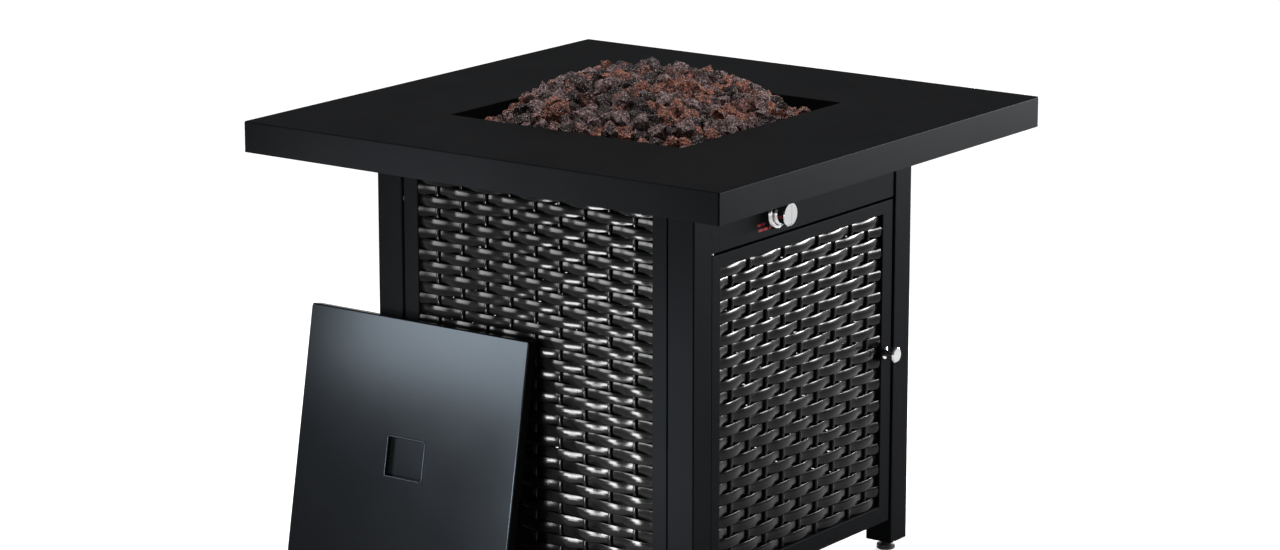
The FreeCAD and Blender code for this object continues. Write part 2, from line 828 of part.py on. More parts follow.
def add_door_catch():
    """A steel strike plate on the door and a magnet on the post behind it."""
    low, high = door_knob_height - s.strike_height / 2, door_knob_height + s.strike_height / 2
    strike_back = s.strike_gauge - panel_back
    across = (half_panel - s.lock_stile, half_panel)
    keep(block("strike", across, (-panel_back, strike_back), (low, high)), "strike_plate")
    front = strike_back + s.body_gap
    low, high = door_knob_height - s.magnet_height / 2, door_knob_height + s.magnet_height / 2
    magnet = block("magnet", (post_inner - s.magnet_width, post_inner), (front, front + s.magnet_depth),
                   (low, high))
    keep(magnet, "door_magnet")


def add_base_plate():
    """The cabinet's floor: a tray notched round the posts, with upturned lips and vent holes."""
    gauge = s.tray_gauge
    low, high = s.panel_lift - gauge, s.panel_lift
    reach = post_inner - s.body_gap
    side = panel_back
    front = s.tray_setback - panel_back
    lip = (low, high + s.tray_lip)
    pieces = [block("tray_across", (-side, side), (-reach, reach), (low, high)),
              block("tray_along", (-reach, reach), (front, side), (low, high)),
              block("tray_left_lip", (-side, gauge - side), (-reach, reach), lip),
              block("tray_right_lip", (side - gauge, side), (-reach, reach), lip),
              block("tray_front_lip", (-reach, reach), (front, front + gauge), lip),
              block("tray_back_lip", (-reach, reach), (side - gauge, side), lip)]
    vents = [drill("tray_vent", s.vent_radius, (across * s.vent_spread, back * s.vent_spread, low), Z_AXIS,
                   gauge) for across, back in EVERY_CORNER]
    keep(cut("tray", fuse("tray_blank", *pieces), *vents), "base_plate")


def add_bottle_holder():
    """A hoop for the bottle's foot ring and a wing screw through a nut on its front."""
    outer_radius = s.ring_radius + s.ring_gauge
    hoop_front = s.bottle_back - s.ring_radius
    nut_front = hoop_front - s.ring_gauge - s.wing_nut_depth
    nut_half = 2 * s.wing_radius
    hoop = rod("hoop_outer", outer_radius, (0, s.bottle_back, s.panel_lift), Z_AXIS, s.ring_height)
    boss = block("hoop_nut", (-nut_half, nut_half), (nut_front, hoop_front),
                 (screw_level - nut_half, screw_level + nut_half))
    clear = drill("hoop_inner", s.ring_radius, (0, s.bottle_back, s.panel_lift), Z_AXIS, s.ring_height)
    bore = drill("hoop_bore", s.wing_radius + s.running_fit, (0, nut_front, screw_level), Y_AXIS,
                 hoop_front - nut_front)
    keep(cut("hoop", fuse("hoop_blank", hoop, boss), fuse("hoop_clear", clear, bore)), "bottle_ring")

    wing_back = hoop_front - s.wing_length
    wing_half = s.wing_span / 2
    shank = rod("wing_shank", s.wing_radius, (0, hoop_front, screw_level), OUTWARD, s.wing_length)
    wing = block("wing", (-wing_half, wing_half), (wing_back - s.wing_depth, wing_back),
                 (screw_level - s.wing_gauge / 2, screw_level + s.wing_gauge / 2))
    hub = rod("wing_hub", s.wing_radius * 1.4, (0, wing_back, screw_level), OUTWARD, s.wing_depth / 2)
    keep(fuse("wing_screw", shank, wing, hub), "bottle_screw")


def add_feet():
    """Plastic plugs in the posts, and a screw foot in each."""
    plugs = []
    half = s.post_width / 2 - s.post_gauge - s.running_fit
    shoulder = s.post_lift - s.body_gap
    stud_top = shoulder + s.stud_length
    up = (s.post_lift, s.post_lift + s.plug_height)
    for across, back in EVERY_CORNER:
        middle = (across * post_middle, back * post_middle)
        sides = [(centre - half, centre + half) for centre in middle]
        bore = drill("plug_bore", s.stud_radius + s.running_fit, (*middle, up[0]), Z_AXIS, s.plug_height)
        plugs.append(cut("plug", block("plug_blank", *sides, up), bore))
        name = POST_NAMES[across, back]
        body = new_body(f"foot_{name}")
        turning(body, f"foot_{name}", [
            (0, 0), (s.foot_radius - s.foot_edge, 0), (s.foot_radius, s.foot_edge),
            (s.foot_radius, s.foot_height - s.foot_slope), (s.foot_neck, s.foot_height),
            (s.foot_neck, shoulder), (s.stud_radius, shoulder), (s.stud_radius, stud_top), (0, stud_top)])
        place(body, *middle, 0)
        keep(body, f"levelling_foot_{name}")
    keep(group("plug_set", *plugs), "post_plugs")


def rounded_box(name, half, corner, height, level):
    """A square block with rounded upright edges, standing at a level."""
    body = new_body(name)
    place(body, 0, 0, level)
    base = sketch(body, f"{name}_outline", "XY_Plane")
    square(base, half)
    fillet(body, pad(body, base, height, f"{name}_blank"), corner, f"{name}_rounding", is_upright)
    return body


def shield_stud_places():
    """Where the heat shield hangs, measured on its own corners."""
    side = shield_half - s.shield_inset
    return [(across * side, back) for across in (-1, 1) for back in (s.shield_inset - shield_front, side)]


def sensor_places():
    """The flame sensor and the spark electrode, side by side under the hood."""
    across, front = hood_middle
    return (across - s.sensor_spread, front), (across + s.sensor_spread, front)


def add_burner_pan():
    """A square bowl whose lip rests on the recess ledge, pierced for what passes through its floor."""
    gauge = s.pan_gauge
    bowl = rounded_box("pan_bowl", pan_half, s.pan_corner, s.pan_depth + gauge, pan_bottom)
    hollow = rounded_box("pan_hollow", pan_half - gauge, s.pan_corner - gauge, s.pan_depth + OVERCUT,
                         pan_floor)
    half_lip = s.recess_side / 2 - s.lip_play
    lip = block("pan_lip", (-half_lip, half_lip), (-half_lip, half_lip), (ledge_top, ledge_top + gauge))
    sensor, electrode = sensor_places()
    drain = pan_half - s.drain_inset
    bores = [(s.burner_tube + s.hole_play, (0, -mixer_back)), (s.sensor_radius + s.hole_play, sensor),
             (s.electrode_radius + s.hole_play, electrode)]
    bores += [(s.shield_screw_radius + s.hole_play, here) for here in shield_stud_places()]
    bores += [(s.drain_radius, (across * drain, back * drain)) for across, back in EVERY_CORNER]
    holes = [drill("pan_hole", radius, (*here, pan_bottom), Z_AXIS, gauge) for radius, here in bores]
    shell = cut("pan_shell", fuse("pan_blank", bowl, lip), hollow)
    keep(cut("pan", shell, *holes), "burner_pan")


def add_heat_shield():
    """A plate under the pan on four shouldered studs."""
    shield_bottom = shield_top - s.shield_gauge
    screw_bottom = shield_bottom - s.shield_head
    plate = block("shield_blank", (-shield_half, shield_half), (-shield_front, shield_half),
                  (shield_bottom, shield_top))
    holes = []
    studs = []
    for here in shield_stud_places():
        holes.append(drill("shield_screw_hole", s.shield_screw_radius + s.hole_play, (*here, shield_bottom),
                           Z_AXIS, s.shield_gauge))
        head = rod("shield_head", s.shield_stud_radius, (*here, screw_bottom), Z_AXIS, s.shield_head)
        shoulder = rod("shield_shoulder", s.shield_stud_radius, (*here, shield_top), Z_AXIS, s.shield_drop)
        shank = rod("shield_shank", s.shield_screw_radius, (*here, screw_bottom), Z_AXIS,
                    pan_floor + s.shield_head - screw_bottom)
        studs.append(fuse("shield_stud", head, shoulder, shank))
    keep(cut("shield", plate, *holes), "heat_shield")
    keep(group("shield_stud_set", *studs), "shield_studs")


def round_the_ring(count):
    """Points spread evenly round the burner's ring, as X and Y."""
    angles = [2 * math.pi * (index + 0.5) / count for index in range(int(count))]
    return [(s.burner_radius * math.cos(angle), s.burner_radius * math.sin(angle)) for angle in angles]


def burner_solids(name, radius, stub_low):
    """The burner's ring, feed, elbow and stub at a given tube radius."""
    ring = doc.addObject("Part::Torus", f"{name}_hoop")
    bind(ring, "Radius1", s.burner_radius)
    bind(ring, "Radius2", radius)
    place(ring, 0, 0, burner_level)
    elbow = doc.addObject("Part::Sphere", f"{name}_elbow")
    bind(elbow, "Radius", radius)
    place(elbow, 0, -mixer_back, burner_level)
    feed = rod(f"{name}_feed", radius, (0, -mixer_back, burner_level), Y_AXIS, mixer_back - s.burner_radius)
    stub = rod(f"{name}_stub", radius, (0, -mixer_back, stub_low), Z_AXIS, burner_level - stub_low)
    return [ring, elbow, feed, stub]


def burner_legs(name, radius):
    """Short legs from the pan's floor into the burner's ring."""
    length = s.burner_rise - s.burner_tube + s.burner_wall
    return [rod(f"{name}_leg", radius, (*here, pan_floor), Z_AXIS, length)
            for here in round_the_ring(sheet.leg_count)]


def add_burner():
    """A ring of tube on short legs, with ports on top and a feed that drops through the pan."""
    stub_low = pan_bottom - s.stub_drop
    outer = fuse("burner_outer", *burner_solids("burner", s.burner_tube, stub_low),
                 *burner_legs("burner", s.burner_leg))
    inner = fuse("burner_inner", *burner_solids("bore", s.burner_tube - s.burner_wall, stub_low - OVERCUT))
    ports = [rod("port", s.port_radius, (*here, burner_level), Z_AXIS, s.burner_tube + OVERCUT)
             for here in round_the_ring(sheet.port_count)]
    keep(cut("burner", cut("burner_tube_work", outer, inner), *ports), "burner_ring")


def add_mixer():
    """A brass tube under the pan: jet, air holes and a socket for the burner's stub."""
    body = new_body("mixer_body")
    socket_floor = pan_bottom - s.stub_drop - mixer_bottom
    socket_top = socket_floor + s.stub_drop - s.socket_lip
    socket = s.burner_tube + s.running_fit
    neck_top = socket_floor - s.socket_lip
    turning(body, "mixer", [
        (s.jet_radius, 0), (s.mixer_neck, 0), (s.mixer_neck, neck_top),
        (s.mixer_radius, neck_top + s.socket_lip / 2), (s.mixer_radius, socket_top), (socket, socket_top),
        (socket, socket_floor), (s.mixer_chamber, socket_floor), (s.mixer_chamber, s.jet_length),
        (s.jet_radius, s.jet_length)])
    place(body, 0, -mixer_back, mixer_bottom)
    level = mixer_bottom + socket_floor / 2
    reach = s.mixer_neck
    air = fuse("air_cross", drill("air_across", s.air_hole, (-reach, -mixer_back, level), X_AXIS, 2 * reach),
               drill("air_along", s.air_hole, (0, -mixer_back - reach, level), Y_AXIS, 2 * reach))
    keep(cut("mixer", body, air), "air_mixer")


def add_flame_kit():
    """The slotted hood with the flame sensor and the spark electrode under it."""
    across, front = hood_middle
    wide, deep = s.hood_width / 2, s.hood_depth / 2
    gauge = s.hood_gauge
    top = pan_floor + s.hood_height
    whole = block("hood_blank", (across - wide, across + wide), (front - deep, front + deep),
                  (pan_floor, top))
    hollow = block("hood_hollow", (across - wide + gauge, across + wide - gauge),
                   (front - deep - OVERCUT, front + deep + OVERCUT), (pan_floor - OVERCUT, top - gauge))
    half_slot = s.hood_slot / 2
    slots = []
    for shift in (-wide / 2, 0, wide / 2):
        slots.append(block("hood_slot", (across + shift - half_slot, across + shift + half_slot),
                           (front - deep / 2, front + deep / 2), (top - gauge - OVERCUT, top + OVERCUT)))
    keep(cut("hood", whole, hollow, *slots), "pilot_hood")

    sensor, electrode = sensor_places()
    low = pan_bottom - s.sensor_drop
    high = pan_floor + s.sensor_rise
    collar_low = pan_bottom - s.collar_height
    collars = [rod("sensor_collar", s.collar_radius, (*here, collar_low), Z_AXIS, s.collar_height)
               for here in (sensor, electrode)]
    sensor_rod = rod("sensor_rod", s.sensor_radius, (*sensor, low), Z_AXIS, high - low)
    keep(fuse("sensor", sensor_rod, collars[0]), "thermocouple")
    tip = s.electrode_tip
    electrode_rod = rod("electrode_rod", s.electrode_radius, (*electrode, low), Z_AXIS, high - tip - low)
    wire = rod("electrode_wire", s.electrode_radius / 4, (*electrode, high - tip - OVERCUT), Z_AXIS,
               tip * 1.5)
    keep(fuse("electrode", electrode_rod, wire, collars[1]), "ignition_electrode")


def scatter(column, row, seed):
    """A steady scattered number from -1 to 1 for a stone of the heap; each seed gives another draw."""
    raw = (3 * column ** 2 + 5 * row ** 2 + 7 * column * row + 2 * column + row) * math.sqrt(seed)
    return 2 * (raw - math.floor(raw)) - 1


def heap_point(column, row):
    """A point of the heap's dome, which lies on a square grid drawn in at its corners."""
    cells = int(sheet.stone_rows)
    along = 2 * column / cells - 1
    beside = 2 * row / cells - 1
    reach = value_of(pan_half - s.pan_gauge - s.heap_play)
    across = reach * along * math.sqrt(1 - sheet.heap_roundness * beside ** 2)
    back = reach * beside * math.sqrt(1 - sheet.heap_roundness * along ** 2)
    crown = value_of(s.top_height + s.heap_rise)
    rim = value_of(s.top_height - s.heap_drop)
    share = min(1, (along ** 4 + beside ** 4) ** 0.25)
    return Vector(across, back, rim + (crown - rim) * (1 - share ** sheet.heap_fullness))


def stone_top(column, row):
    """The top of the stone in one cell of the heap's grid, moved a little off the cell's middle."""
    move = Vector(sheet.stone_shift * scatter(column, row, 2), sheet.stone_shift * scatter(column, row, 3),
                  sheet.stone_bump * scatter(column, row, 5))
    return heap_point(column + 0.5, row + 0.5) + move


def heap_solid():
    """The heap as one solid on the pan's floor: each stone is a blunt peak between four dips."""
    cells = int(sheet.stone_rows)
    steps = range(cells + 1)
    dip = Vector(0, 0, sheet.stone_gap)
    grid = [[heap_point(column, row) - dip for row in steps] for column in steps]
    faces = []
    for column in range(cells):
        for row in range(cells):
            top = stone_top(column, row)
            ring = [grid[column][row], grid[column + 1][row], grid[column + 1][row + 1], grid[column][row + 1]]
            faces += [[corner, after, top] for corner, after in zip(ring, ring[1:] + ring[:1])]
    border = [grid[step][0] for step in steps] + [grid[cells][step] for step in steps[1:]]
    border += [grid[step][cells] for step in steps[-2::-1]] + [grid[0][step] for step in steps[-2:0:-1]]
    floor = [Vector(point.x, point.y, value_of(pan_floor)) for point in border]
    for index, point in enumerate(border):
        after = (index + 1) % len(border)
        faces += [[point, floor[index], floor[after]], [point, floor[after], border[after]]]
    faces.append(list(reversed(floor)))
    return Part.Solid(Part.Shell([Part.Face(Part.makePolygon(corners + corners[:1])) for corners in faces]))


def add_lava_rocks():
    """The heap of stones, hollowed round the burner and the hood that it covers."""
    heap = doc.addObject("Part::Feature", "heap")
    heap.Shape = heap_solid()
    cover = s.burner_cover
    across, front = hood_middle
    wide, deep = s.hood_width / 2 + cover, s.hood_depth / 2 + cover
    hood = block("hood_room", (across - wide, across + wide), (front - deep, front + deep),
                 (pan_floor - OVERCUT, pan_floor + s.hood_height + cover))
    burner = burner_solids("room", s.burner_tube + cover, pan_bottom)
    burner += burner_legs("room", s.burner_leg + cover)
    studs = [rod("stud_room", s.shield_screw_radius + cover, (*here, pan_bottom), Z_AXIS,
                 s.pan_gauge + s.shield_head + cover) for here in shield_stud_places()]
    keep(cut("heap_work", heap, fuse("heap_room", *burner, hood, *studs)), "lava_rocks")


def add_gas_valve():
    """The valve's body with its threaded neck, flare inlet, outlet boss and stem bore."""
    half = s.valve_width / 2
    middle = -s.knob_across
    inlet_across = middle + half
    level = knob_height
    halfway = (valve_front + valve_back) / 2
    inlet_end = inlet_across + s.inlet_boss + s.inlet_length
    neck_length = valve_front - neck_front
    solids = [
        block("valve_block", (middle - half, middle + half), (valve_front, valve_back),
              (valve_base, valve_base + s.valve_tall)),
        rod("valve_neck", s.neck_radius, (middle, valve_front, level), OUTWARD, neck_length),
        rod("valve_shoulder", s.shoulder_radius, (middle, -rail_face, level), Y_AXIS, s.shoulder_depth),
        rod("inlet_boss", s.inlet_radius * 1.2, (inlet_across, halfway, level), X_AXIS, s.inlet_boss),
        rod("inlet_thread", s.inlet_radius, (inlet_across, halfway, level), X_AXIS,
            s.inlet_boss + s.inlet_length),
        rod("outlet_boss", s.gas_tube * 1.75, (middle, outlet_back(), valve_base), -Z_AXIS, s.outlet_drop)]
    bore_back = cavity_back + s.stem_tail + s.stem_push + s.body_gap
    bore = rod("stem_bore", s.stem_radius + s.running_fit, (middle, neck_front - OVERCUT, level), Y_AXIS,
               bore_back - neck_front + OVERCUT)
    cavity = rod("stem_cavity", s.cavity_radius, (middle, cavity_front, level), Y_AXIS, s.cavity_length)
    port = rod("inlet_port", s.inlet_radius / 2, (inlet_end + OVERCUT, halfway, level), -X_AXIS,
               s.inlet_length + OVERCUT)
    keep(cut("valve", fuse("valve_blank", *solids), fuse("valve_bores", bore, cavity), port), "gas_valve")


def outlet_back():
    """How far back the valve's outlet is."""
    return valve_back - s.gas_tube * 2.5


def add_valve_stem():
    """The stem that the knob turns, and what springs it back inside the valve."""
    across, level = -s.knob_across, knob_height
    stem_back = cavity_back + s.stem_tail
    stem_front = -panel_face - s.knob_reach + s.knob_cap
    collar_front = cavity_front + s.body_gap
    stem = rod("stem", s.stem_radius, (across, stem_front, level), Y_AXIS, stem_back - stem_front)
    keep(stem, "valve_stem")
    collar = rod("collar_disc", s.cavity_radius - s.hole_play, (across, collar_front, level), Y_AXIS,
                 s.collar_length)
    bore = drill("collar_bore", s.stem_radius + s.running_fit, (across, collar_front, level), Y_AXIS,
                 s.collar_length)
    keep(cut("collar", collar, bore), "stem_collar")

    wire = sheet.spring_wire
    radius = (sheet.stem_radius + sheet.cavity_radius) / 2
    spring_gap = wire + sheet.running_fit
    free = value_of(cavity_back - spring_front) - 2 * spring_gap
    coil = Part.makeHelix(free / sheet.spring_turns, free, radius)
    ring = Part.Wire(Part.makeCircle(wire, Vector(radius, 0, 0), Y_AXIS))
    spring = doc.addObject("Part::Feature", "spring")
    spring.Shape = Part.Wire(coil).makePipeShell([ring], True, True)
    start = Vector(value_of(across), value_of(spring_front) + spring_gap, value_of(level))
    spring.Placement = Placement(start, Rotation(Z_AXIS, Y_AXIS))
    keep(spring, "stem_spring")


def add_knob():
    """The nut on the valve's neck, the bezel ring round it and the knob that dips into the ring."""
    across, level = -s.knob_across, knob_height
    panel_front = (across, -panel_face, level)
    nut = hexagon("neck_nut_blank", s.nut_radius, panel_front, OUTWARD, s.neck_reach)
    nut_bore = drill("neck_nut_bore", s.neck_radius + s.running_fit, panel_front, OUTWARD, s.neck_reach)
    keep(cut("neck_nut", nut, nut_bore), "valve_nut")

    bezel = new_body("bezel_body")
    rim = s.bezel_radius - s.bezel_bore
    turning(bezel, "bezel", [
        (s.bezel_bore, 0), (s.bezel_radius, 0), (s.bezel_radius, s.bezel_depth / 2),
        (s.bezel_radius - rim * 0.27, s.bezel_depth * 0.87), (s.bezel_radius - rim * 0.58, s.bezel_depth),
        (s.bezel_bore, s.bezel_depth)])
    bezel.Placement = Placement(Vector(), Rotation(Z_AXIS, OUTWARD))
    place(bezel, *panel_front)
    keep(bezel, "knob_bezel")

    body = new_body("knob_body")
    radius = s.knob_radius
    length = s.knob_reach - s.knob_stand
    waist = radius - s.knob_waist
    bore = s.stem_radius + s.running_fit
    bore_end = length - s.knob_cap + s.running_fit
    turning(body, "knob", [
        (bore, 0), (radius, 0), (radius, length * 0.1), (waist, length * 0.23), (waist, length * 0.67),
        (radius, length * 0.8), (radius, length * 0.93), (radius - length * 0.07, length), (0, length),
        (0, bore_end), (bore, bore_end)])
    grip = sketch(body, "grip_outline", "XY_Plane", length)
    rectangle(grip, (-s.grip_width / 2, s.grip_width / 2), (-waist, waist))
    pocket(body, grip, s.grip_depth, "grip_groove")
    body.Placement = Placement(Vector(), Rotation(X_AXIS, 90))
    place(body, across, -panel_face - s.knob_stand, level)
    keep(body, "control_knob")


def igniter_place():
    """Where the spark unit stands on the valve's back, as X and Z."""
    return -s.knob_across - s.valve_width / 2 + s.igniter_radius, valve_base + s.igniter_radius


def add_igniter():
    """The spark unit behind the valve, with its terminal."""
    across, level = igniter_place()
    case = rod("igniter_case", s.igniter_radius, (across, valve_back, level), Y_AXIS, s.igniter_length)
    terminal = rod("igniter_terminal", s.lead_radius * 1.5, (across, valve_back + s.igniter_length, level),
                   Y_AXIS, s.igniter_terminal)
    keep(fuse("igniter", case, terminal), "piezo_igniter")


def sensor_port():
    """Where the flame sensor's lead enters the back of the valve."""
    return -s.knob_across + s.valve_width / 2 - 6, valve_base + s.valve_tall - 7


def smooth_tube(name, radius, points):
    """A tube along straight runs joined by arcs as large as the runs allow."""
    corners = [Vector(*[value_of(size) for size in point]) for point in points]
    edges = []
    radii = []
    start = corners[0]
    for before, corner, after in zip(corners, corners[1:], corners[2:]):
        inward, outward = (before - corner).normalize(), (after - corner).normalize()
        trim = 0.45 * min((before - corner).Length, (after - corner).Length)
        half_turn = (math.pi - inward.getAngle(outward)) / 2
        bend = trim / math.tan(half_turn)
        first, last = corner + inward * trim, corner + outward * trim
        middle = corner + (inward + outward).normalize() * (bend / math.cos(half_turn) - bend)
        edges.append(Part.LineSegment(start, first).toShape())
        edges.append(Part.Arc(first, middle, last).toShape())
        radii.append(round(bend, 1))
        start = last
    edges.append(Part.LineSegment(start, corners[-1]).toShape())
    path = Part.Wire(edges)
    ring = Part.Wire(Part.makeCircle(radius, corners[0], corners[1] - corners[0]))
    tube = doc.addObject("Part::Feature", name)
    tube.Shape = path.makePipeShell([ring], True, False)
    share = tube.Shape.Volume / (math.pi * radius ** 2 * path.Length)
    print(f"{name}: length {path.Length:.1f}, radii {radii}, volume ratio {share:.4f}")
    keep(tube, name)


def add_lines():
    """The gas tube and the two leads, each held at both ends, with the nuts on their ends."""
    middle = -s.knob_across
    outlet = (middle, outlet_back(), valve_base - s.outlet_drop)
    inlet = (0, -mixer_back, mixer_bottom)
    low = mixer_bottom - s.line_drop
    smooth_tube("gas_line", sheet.gas_tube, [outlet, (*outlet[:2], low), (*inlet[:2], low), inlet])

    sensor, electrode = sensor_places()
    start = pan_bottom - s.sensor_drop
    port_across, port_level = sensor_port()
    port = (port_across, valve_back, port_level)
    smooth_tube("thermocouple_lead", sheet.lead_radius, [
        (*sensor, start), (*sensor, start - 28), (sensor[0] - 25, sensor[1] + 10, start - 48),
        (sensor[0] - 67, sensor[1] + 4, start - 48), (port_across, sensor[1] - 16, start - 28),
        (port_across, sensor[1] - 36, port_level), port])
    across, level = igniter_place()
    terminal_back = valve_back + s.igniter_length + s.igniter_terminal
    smooth_tube("igniter_lead", sheet.lead_radius, [
        (*electrode, start), (*electrode, start - 34), (electrode[0] - 33, electrode[1] + 17, start - 60),
        (electrode[0] - 83, electrode[1] + 14, start - 58), (across, terminal_back + 34, level - 22),
        (across, terminal_back + 18, level), (across, terminal_back, level)])

    nuts = []
    for seat, direction, radius in ((outlet, -Z_AXIS, s.gas_tube), (inlet, -Z_AXIS, s.gas_tube),
                                    (port, Y_AXIS, s.lead_radius)):
        nut = hexagon("line_nut_blank", radius * HEAD_SHARE, seat, direction, radius * 2)
        bore = drill("line_nut_bore", radius + s.running_fit, seat, direction, radius * 2)
        nuts.append(cut("line_nut", nut, bore))
    keep(group("line_nut_set", *nuts), "line_nuts")


def lean(thing):
    """Leans a lid piece, drawn flat, against the left posts with its lower edge on the floor."""
    thing.Placement = Placement(Vector(), Rotation(-Y_AXIS, 90))
    bind(thing, "Placement.Rotation.Angle", 90 - s.lid_lean)
    return place(thing, -half_base - s.lid_gap - lid_side / 2 * sine(s.lid_lean), s.lid_shift,
                 lid_side / 2 * cosine(s.lid_lean))


def add_lid():
    """A shallow folded lid with an opening in its middle for the handle cup."""
    body = new_body("lid_body")
    outer = sketch(body, "lid_outline", "XY_Plane")
    square(outer, lid_side / 2)
    shell = pad(body, outer, s.lid_depth, "lid_blank")
    shell = fillet(body, shell, s.lid_corner, "lid_corner_rounding", is_upright)
    top = value_of(s.lid_depth)
    fillet(body, shell, s.lid_bend, "lid_rim_rounding", lambda edge: lies_at(edge, "z", top))
    inside = sketch(body, "lid_inside", "XY_Plane")
    square(inside, lid_side / 2 - s.lid_gauge)
    pocket(body, inside, s.lid_depth - s.lid_gauge, "lid_hollow", reversed_cut=True)
    opening = sketch(body, "lid_opening", "XY_Plane")
    tall, wide = s.pocket_height / 2, s.pocket_width / 2
    rectangle(opening, (-tall, tall), (-wide, wide))
    pocket(body, opening, s.lid_depth, "lid_opening_cut", reversed_cut=True)
    keep(lean(body), "lid_panel")

    gauge = s.lid_gauge
    high = s.lid_depth - gauge
    low = s.lid_depth - s.pocket_depth
    flange_tall, flange_wide = tall + s.pocket_flange, wide + s.pocket_flange
    plate = block("cup_flange", (-flange_tall, flange_tall), (-flange_wide, flange_wide),
                  (high - gauge, high))
    bowl = block("cup_bowl", (-tall - gauge, tall + gauge), (-wide - gauge, wide + gauge),
                 (low - gauge, high))
    hollow = block("cup_hollow", (-tall, tall), (-wide, wide), (low, high + OVERCUT))
    keep(lean(cut("cup", fuse("cup_blank", plate, bowl), hollow)), "lid_handle_cup")


def build():
    """Makes every sub-part."""
    add_table_top()
    add_stiffeners()
    add_top_bolts()
    add_posts()
    add_top_rails()
    add_fixed_panels()
    add_frame_screws()
    add_control_panel()
    add_door()
    add_hinges()
    add_door_knob()
    add_door_catch()
    add_base_plate()
    add_bottle_holder()
    add_feet()
    add_burner_pan()
    add_heat_shield()
    add_burner()
    add_mixer()
    add_flame_kit()
    add_lava_rocks()
    add_gas_valve()
    add_valve_stem()
    add_knob()
    add_igniter()
    add_lines()
    add_lid()
    doc.recompute()


def check():
    """Stops if an object failed or a sub-part has no sound shape."""
    failed = [thing.Name for thing in doc.Objects if {"Invalid", "Error"} & set(thing.State)]
    failed += [part.Label for part in parts if part.Shape.isNull() or not part.Shape.isValid()]
    failed += [part.Label for part in parts if not part.Shape.Solids]
    if failed:
        raise RuntimeError(f"Failed: {', '.join(failed)}")


def write():
    """Writes each sub-part under its own name."""
    os.makedirs("parts", exist_ok=True)
    for part in parts:
        part.Shape.exportStep(f"parts/{part.Label}.step")
    print(f"{len(parts)} sub-parts written")


build()
check()
write()
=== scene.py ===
"""Dresses a gas fire pit table: powder coat, woven resin, lava stones, bright fittings and a plain studio.

Everything is in metres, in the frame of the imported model: +Z is up, the door and the gas knob face -Y, and
the lid leans on the -X side.
"""

import logging  # noqa: E402
import math  # noqa: E402
from abc import ABC, abstractmethod  # noqa: E402
from collections.abc import Iterable, Mapping  # noqa: E402
from dataclasses import dataclass, field  # noqa: E402
from enum import Enum  # noqa: E402
from typing import Any  # noqa: E402

import bmesh  # noqa: E402
import bpy  # noqa: E402
from mathutils import Matrix, Vector  # noqa: E402


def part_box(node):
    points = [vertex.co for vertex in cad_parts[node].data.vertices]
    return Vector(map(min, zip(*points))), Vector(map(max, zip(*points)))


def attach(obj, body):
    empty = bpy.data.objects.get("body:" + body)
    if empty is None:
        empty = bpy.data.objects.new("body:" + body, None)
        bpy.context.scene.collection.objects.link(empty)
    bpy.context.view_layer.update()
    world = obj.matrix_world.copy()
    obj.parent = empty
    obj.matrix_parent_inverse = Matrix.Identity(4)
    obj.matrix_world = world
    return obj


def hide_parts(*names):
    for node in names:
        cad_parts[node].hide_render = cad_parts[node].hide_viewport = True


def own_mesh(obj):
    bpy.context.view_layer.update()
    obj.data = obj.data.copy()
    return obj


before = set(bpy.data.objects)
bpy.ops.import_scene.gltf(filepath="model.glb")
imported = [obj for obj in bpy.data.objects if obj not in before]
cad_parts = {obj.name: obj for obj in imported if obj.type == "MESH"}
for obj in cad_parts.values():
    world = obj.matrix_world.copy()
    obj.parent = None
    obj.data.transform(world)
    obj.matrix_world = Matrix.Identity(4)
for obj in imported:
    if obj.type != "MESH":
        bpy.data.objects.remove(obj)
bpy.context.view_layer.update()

log = logging.getLogger("fire_table")

Colour = tuple[float, float, float]
Point = tuple[float, float, float]
Range = tuple[float, float]

# Most of a noise's values lie in this range.
MIDDLE: Range = (0.3, 0.7)


# Node trees


class Field:
    """A value inside a node tree, which Python's operators extend with Math nodes."""

    def __init__(self, graph: "Graph", socket: bpy.types.NodeSocket) -> None:
        """Keeps the socket that gives the value.

        Args:
            graph: The tree that the socket belongs to.
            socket: An output socket.
        """
        self.graph = graph
        self.socket = socket

    def math(self, operation: str, *others: "Field | float") -> "Field":
        """Passes this value through a Math node.

        Args:
            operation: The Math node's operation.
            others: The node's further inputs.

        Returns:
            The node's result.
        """
        node = self.graph.add("ShaderNodeMath", operation=operation)
        for socket, value in zip(node.inputs, (self, *others)):
            self.graph.plug(socket, value)
        return Field(self.graph, node.outputs[0])

    def __add__(self, other: "Field | float") -> "Field":
        """Gives the sum."""
        return self.math("ADD", other)

    def __sub__(self, other: "Field | float") -> "Field":
        """Gives the difference."""
        return self.math("SUBTRACT", other)

    def __mul__(self, other: "Field | float") -> "Field":
        """Gives the product."""
        return self.math("MULTIPLY", other)

    def __truediv__(self, other: "Field | float") -> "Field":
        """Gives the quotient."""
        return self.math("DIVIDE", other)

    def __pow__(self, other: "Field | float") -> "Field":
        """Gives the power."""
        return self.math("POWER", other)


